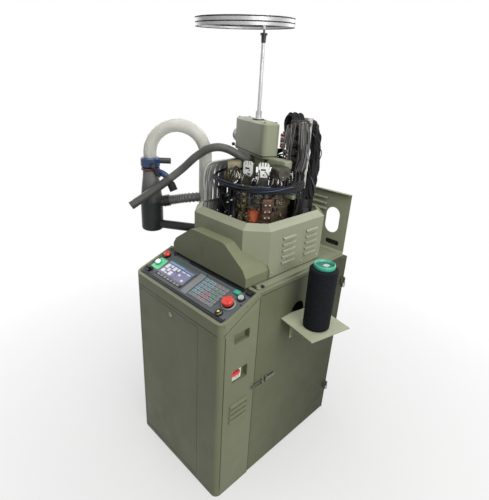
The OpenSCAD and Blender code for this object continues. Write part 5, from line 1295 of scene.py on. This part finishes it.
# %% Make the switch plate, its collar and the last bolts
RECESS_DEEP, BACK_SHEET = 25, 2.02
RECESS_BACK = SIDE_X - RECESS_DEEP + BACK_SHEET
SWITCH_AT = (-371, 618)
t = np.linspace(0, 2 * np.pi, 64, endpoint=False)
square = np.stack([np.clip(1.45 * 27 * np.cos(t), -27, 27), np.clip(1.45 * 26 * np.sin(t), -26, 26)], -1)
disc = np.stack([np.cos(t), np.sin(t)], -1)
for name, hole, low, high in (("switch_plate", 6.8, 0.0, 0.2), ("switch_collar", 23.2, 0.1, 13.0)):
    rows = ((hole * disc, low), (square, low), (square, high), (hole * disc, high))
    ring = [np.column_stack([np.full(len(t), RECESS_BACK + lift), edge + SWITCH_AT]) for edge, lift in rows]
    add(name, np.stack(ring) * MM, white_plastic, "white_plastic", along=True, smooth=False)
guard_screw_at = np.array([(220.4, y, 962) for y in (-150, -60, 40, 150)]) * MM
screws("guard_screws", guard_screw_at, OUT, 4.5, steel)
turned("ledge_bolts", [(0.3, -1), (7.5, -1), (7.5, 5), (5, 7), (0.3, 7.4)],
       np.array([(238, -262, BED_TOP), (252, -232, BED_TOP)]) * MM, black_plastic, "bright_steel", sides=18)
print("guard screws:", len(guard_screw_at))

# %% [markdown]
# ## Floor
# A pale floor carries the shadow and fades to white away from the machine. It could be a plain white
# plane under strong lamps, but then the machine would be too bright. Instead the floor looks white
# by itself to the camera, to mirrors and through glass, and is a dull grey for other light.

# %% Lay the floor
FLOOR_R = 14.0


def seen_by_eye(tree):
    """1 for camera, glossy and transmission rays and 0 for all others: the largest of the three."""
    path = tree.nodes.new("ShaderNodeLightPath")
    total = path.outputs["Is Camera Ray"]
    for other in ("Is Glossy Ray", "Is Transmission Ray"):
        most = tree.nodes.new("ShaderNodeMath")
        most.operation = "MAXIMUM"
        tree.links.new(total, most.inputs[0])
        tree.links.new(path.outputs[other], most.inputs[1])
        total = most.outputs[0]
    return total


def pale_floor():
    """A disc of points r (cos t, sin t, 0) with its own pale finish that turns white far out."""
    r = np.linspace(0.0, FLOOR_R, 24)[:, None]
    t = np.linspace(0, 2 * np.pi, 64, endpoint=False)[None]
    grid = np.stack([r * np.cos(t), r * np.sin(t), 0 * r * t - 0.0005], -1)
    floor = shells("studio_floor", grid, caps=False)
    f = Finish("studio_floor", (0.46, 0.46, 0.455), 0.8)
    white = f.add("ShaderNodeEmission")
    mixer, chosen = f.add("ShaderNodeMixShader"), f.add("ShaderNodeMixShader")
    far = f.distance(f.coords.outputs["Object"])
    f.link(f.ramp(far, 0.55, 1.0, 0.4, 1.9), mixer.inputs[0])
    f.link(f.shader.outputs[0], mixer.inputs[1])
    f.link(white.outputs[0], mixer.inputs[2])
    f.link(seen_by_eye(f.tree), chosen.inputs[0])
    f.link(f.shader.outputs[0], chosen.inputs[1])
    f.link(mixer.outputs[0], chosen.inputs[2])
    f.link(chosen.outputs[0], f.tree.nodes["Material Output"].inputs["Surface"])
    floor.data.materials.append(f.mat)


pale_floor()
print("floor radius:", FLOOR_R, "m")

# %% [markdown]
# ## Light
# Four large square lamps give soft studio light: a key from the right, one above, and weaker ones
# from the left and the rear. Point lamps would throw hard shadows. The world is white where it is
# seen and soft where it only gives light.

# %% Hang the lamps and the backdrop
SOFT_WORLD = 0.11


def softbox(name, at, aim, size, watts, colour=(1, 1, 1)):
    """A square area lamp that points from its place to its aim."""
    light = bpy.data.lights.new(name, "AREA")
    light.energy, light.size, light.color = watts, size, colour
    lamp = bpy.data.objects.new(name, light)
    lamp.location = at
    lamp.rotation_euler = (Vector(aim) - Vector(at)).to_track_quat("-Z", "Y").to_euler()
    bpy.context.scene.collection.objects.link(lamp)


def white_backdrop():
    """World light: white to the camera, in mirrors and through glass, and softer as light."""
    world = bpy.data.worlds.new("studio")
    bpy.context.scene.world = world
    world.use_nodes = True
    nodes, links = world.node_tree.nodes, world.node_tree.links
    nodes.clear()
    mixer, out = nodes.new("ShaderNodeMixShader"), nodes.new("ShaderNodeOutputWorld")
    links.new(seen_by_eye(world.node_tree), mixer.inputs[0])
    for i, (colour, strength) in enumerate((((0.95, 0.98, 1.0, 1), SOFT_WORLD), ((1, 1, 1, 1), 1.0))):
        sky = nodes.new("ShaderNodeBackground")
        sky.inputs["Color"].default_value, sky.inputs["Strength"].default_value = colour, strength
        links.new(sky.outputs[0], mixer.inputs[i + 1])
    links.new(mixer.outputs[0], out.inputs[0])


white_backdrop()
softbox("key_light", (2.8, -0.75, 2.5), (0, -0.1, 0.9), 2.2, 92, (1.0, 0.99, 0.96))
softbox("top_light", (0.5, -0.6, 4.2), (0, -0.1, 0.9), 2.6, 76)
softbox("left_light", (-3.0, 0.2, 2.4), (0, 0, 0.9), 2.4, 40)
softbox("rear_light", (0.6, 3.0, 3.0), (0, 0, 1.0), 2.4, 60)
print("lamps:", len(bpy.data.lights))
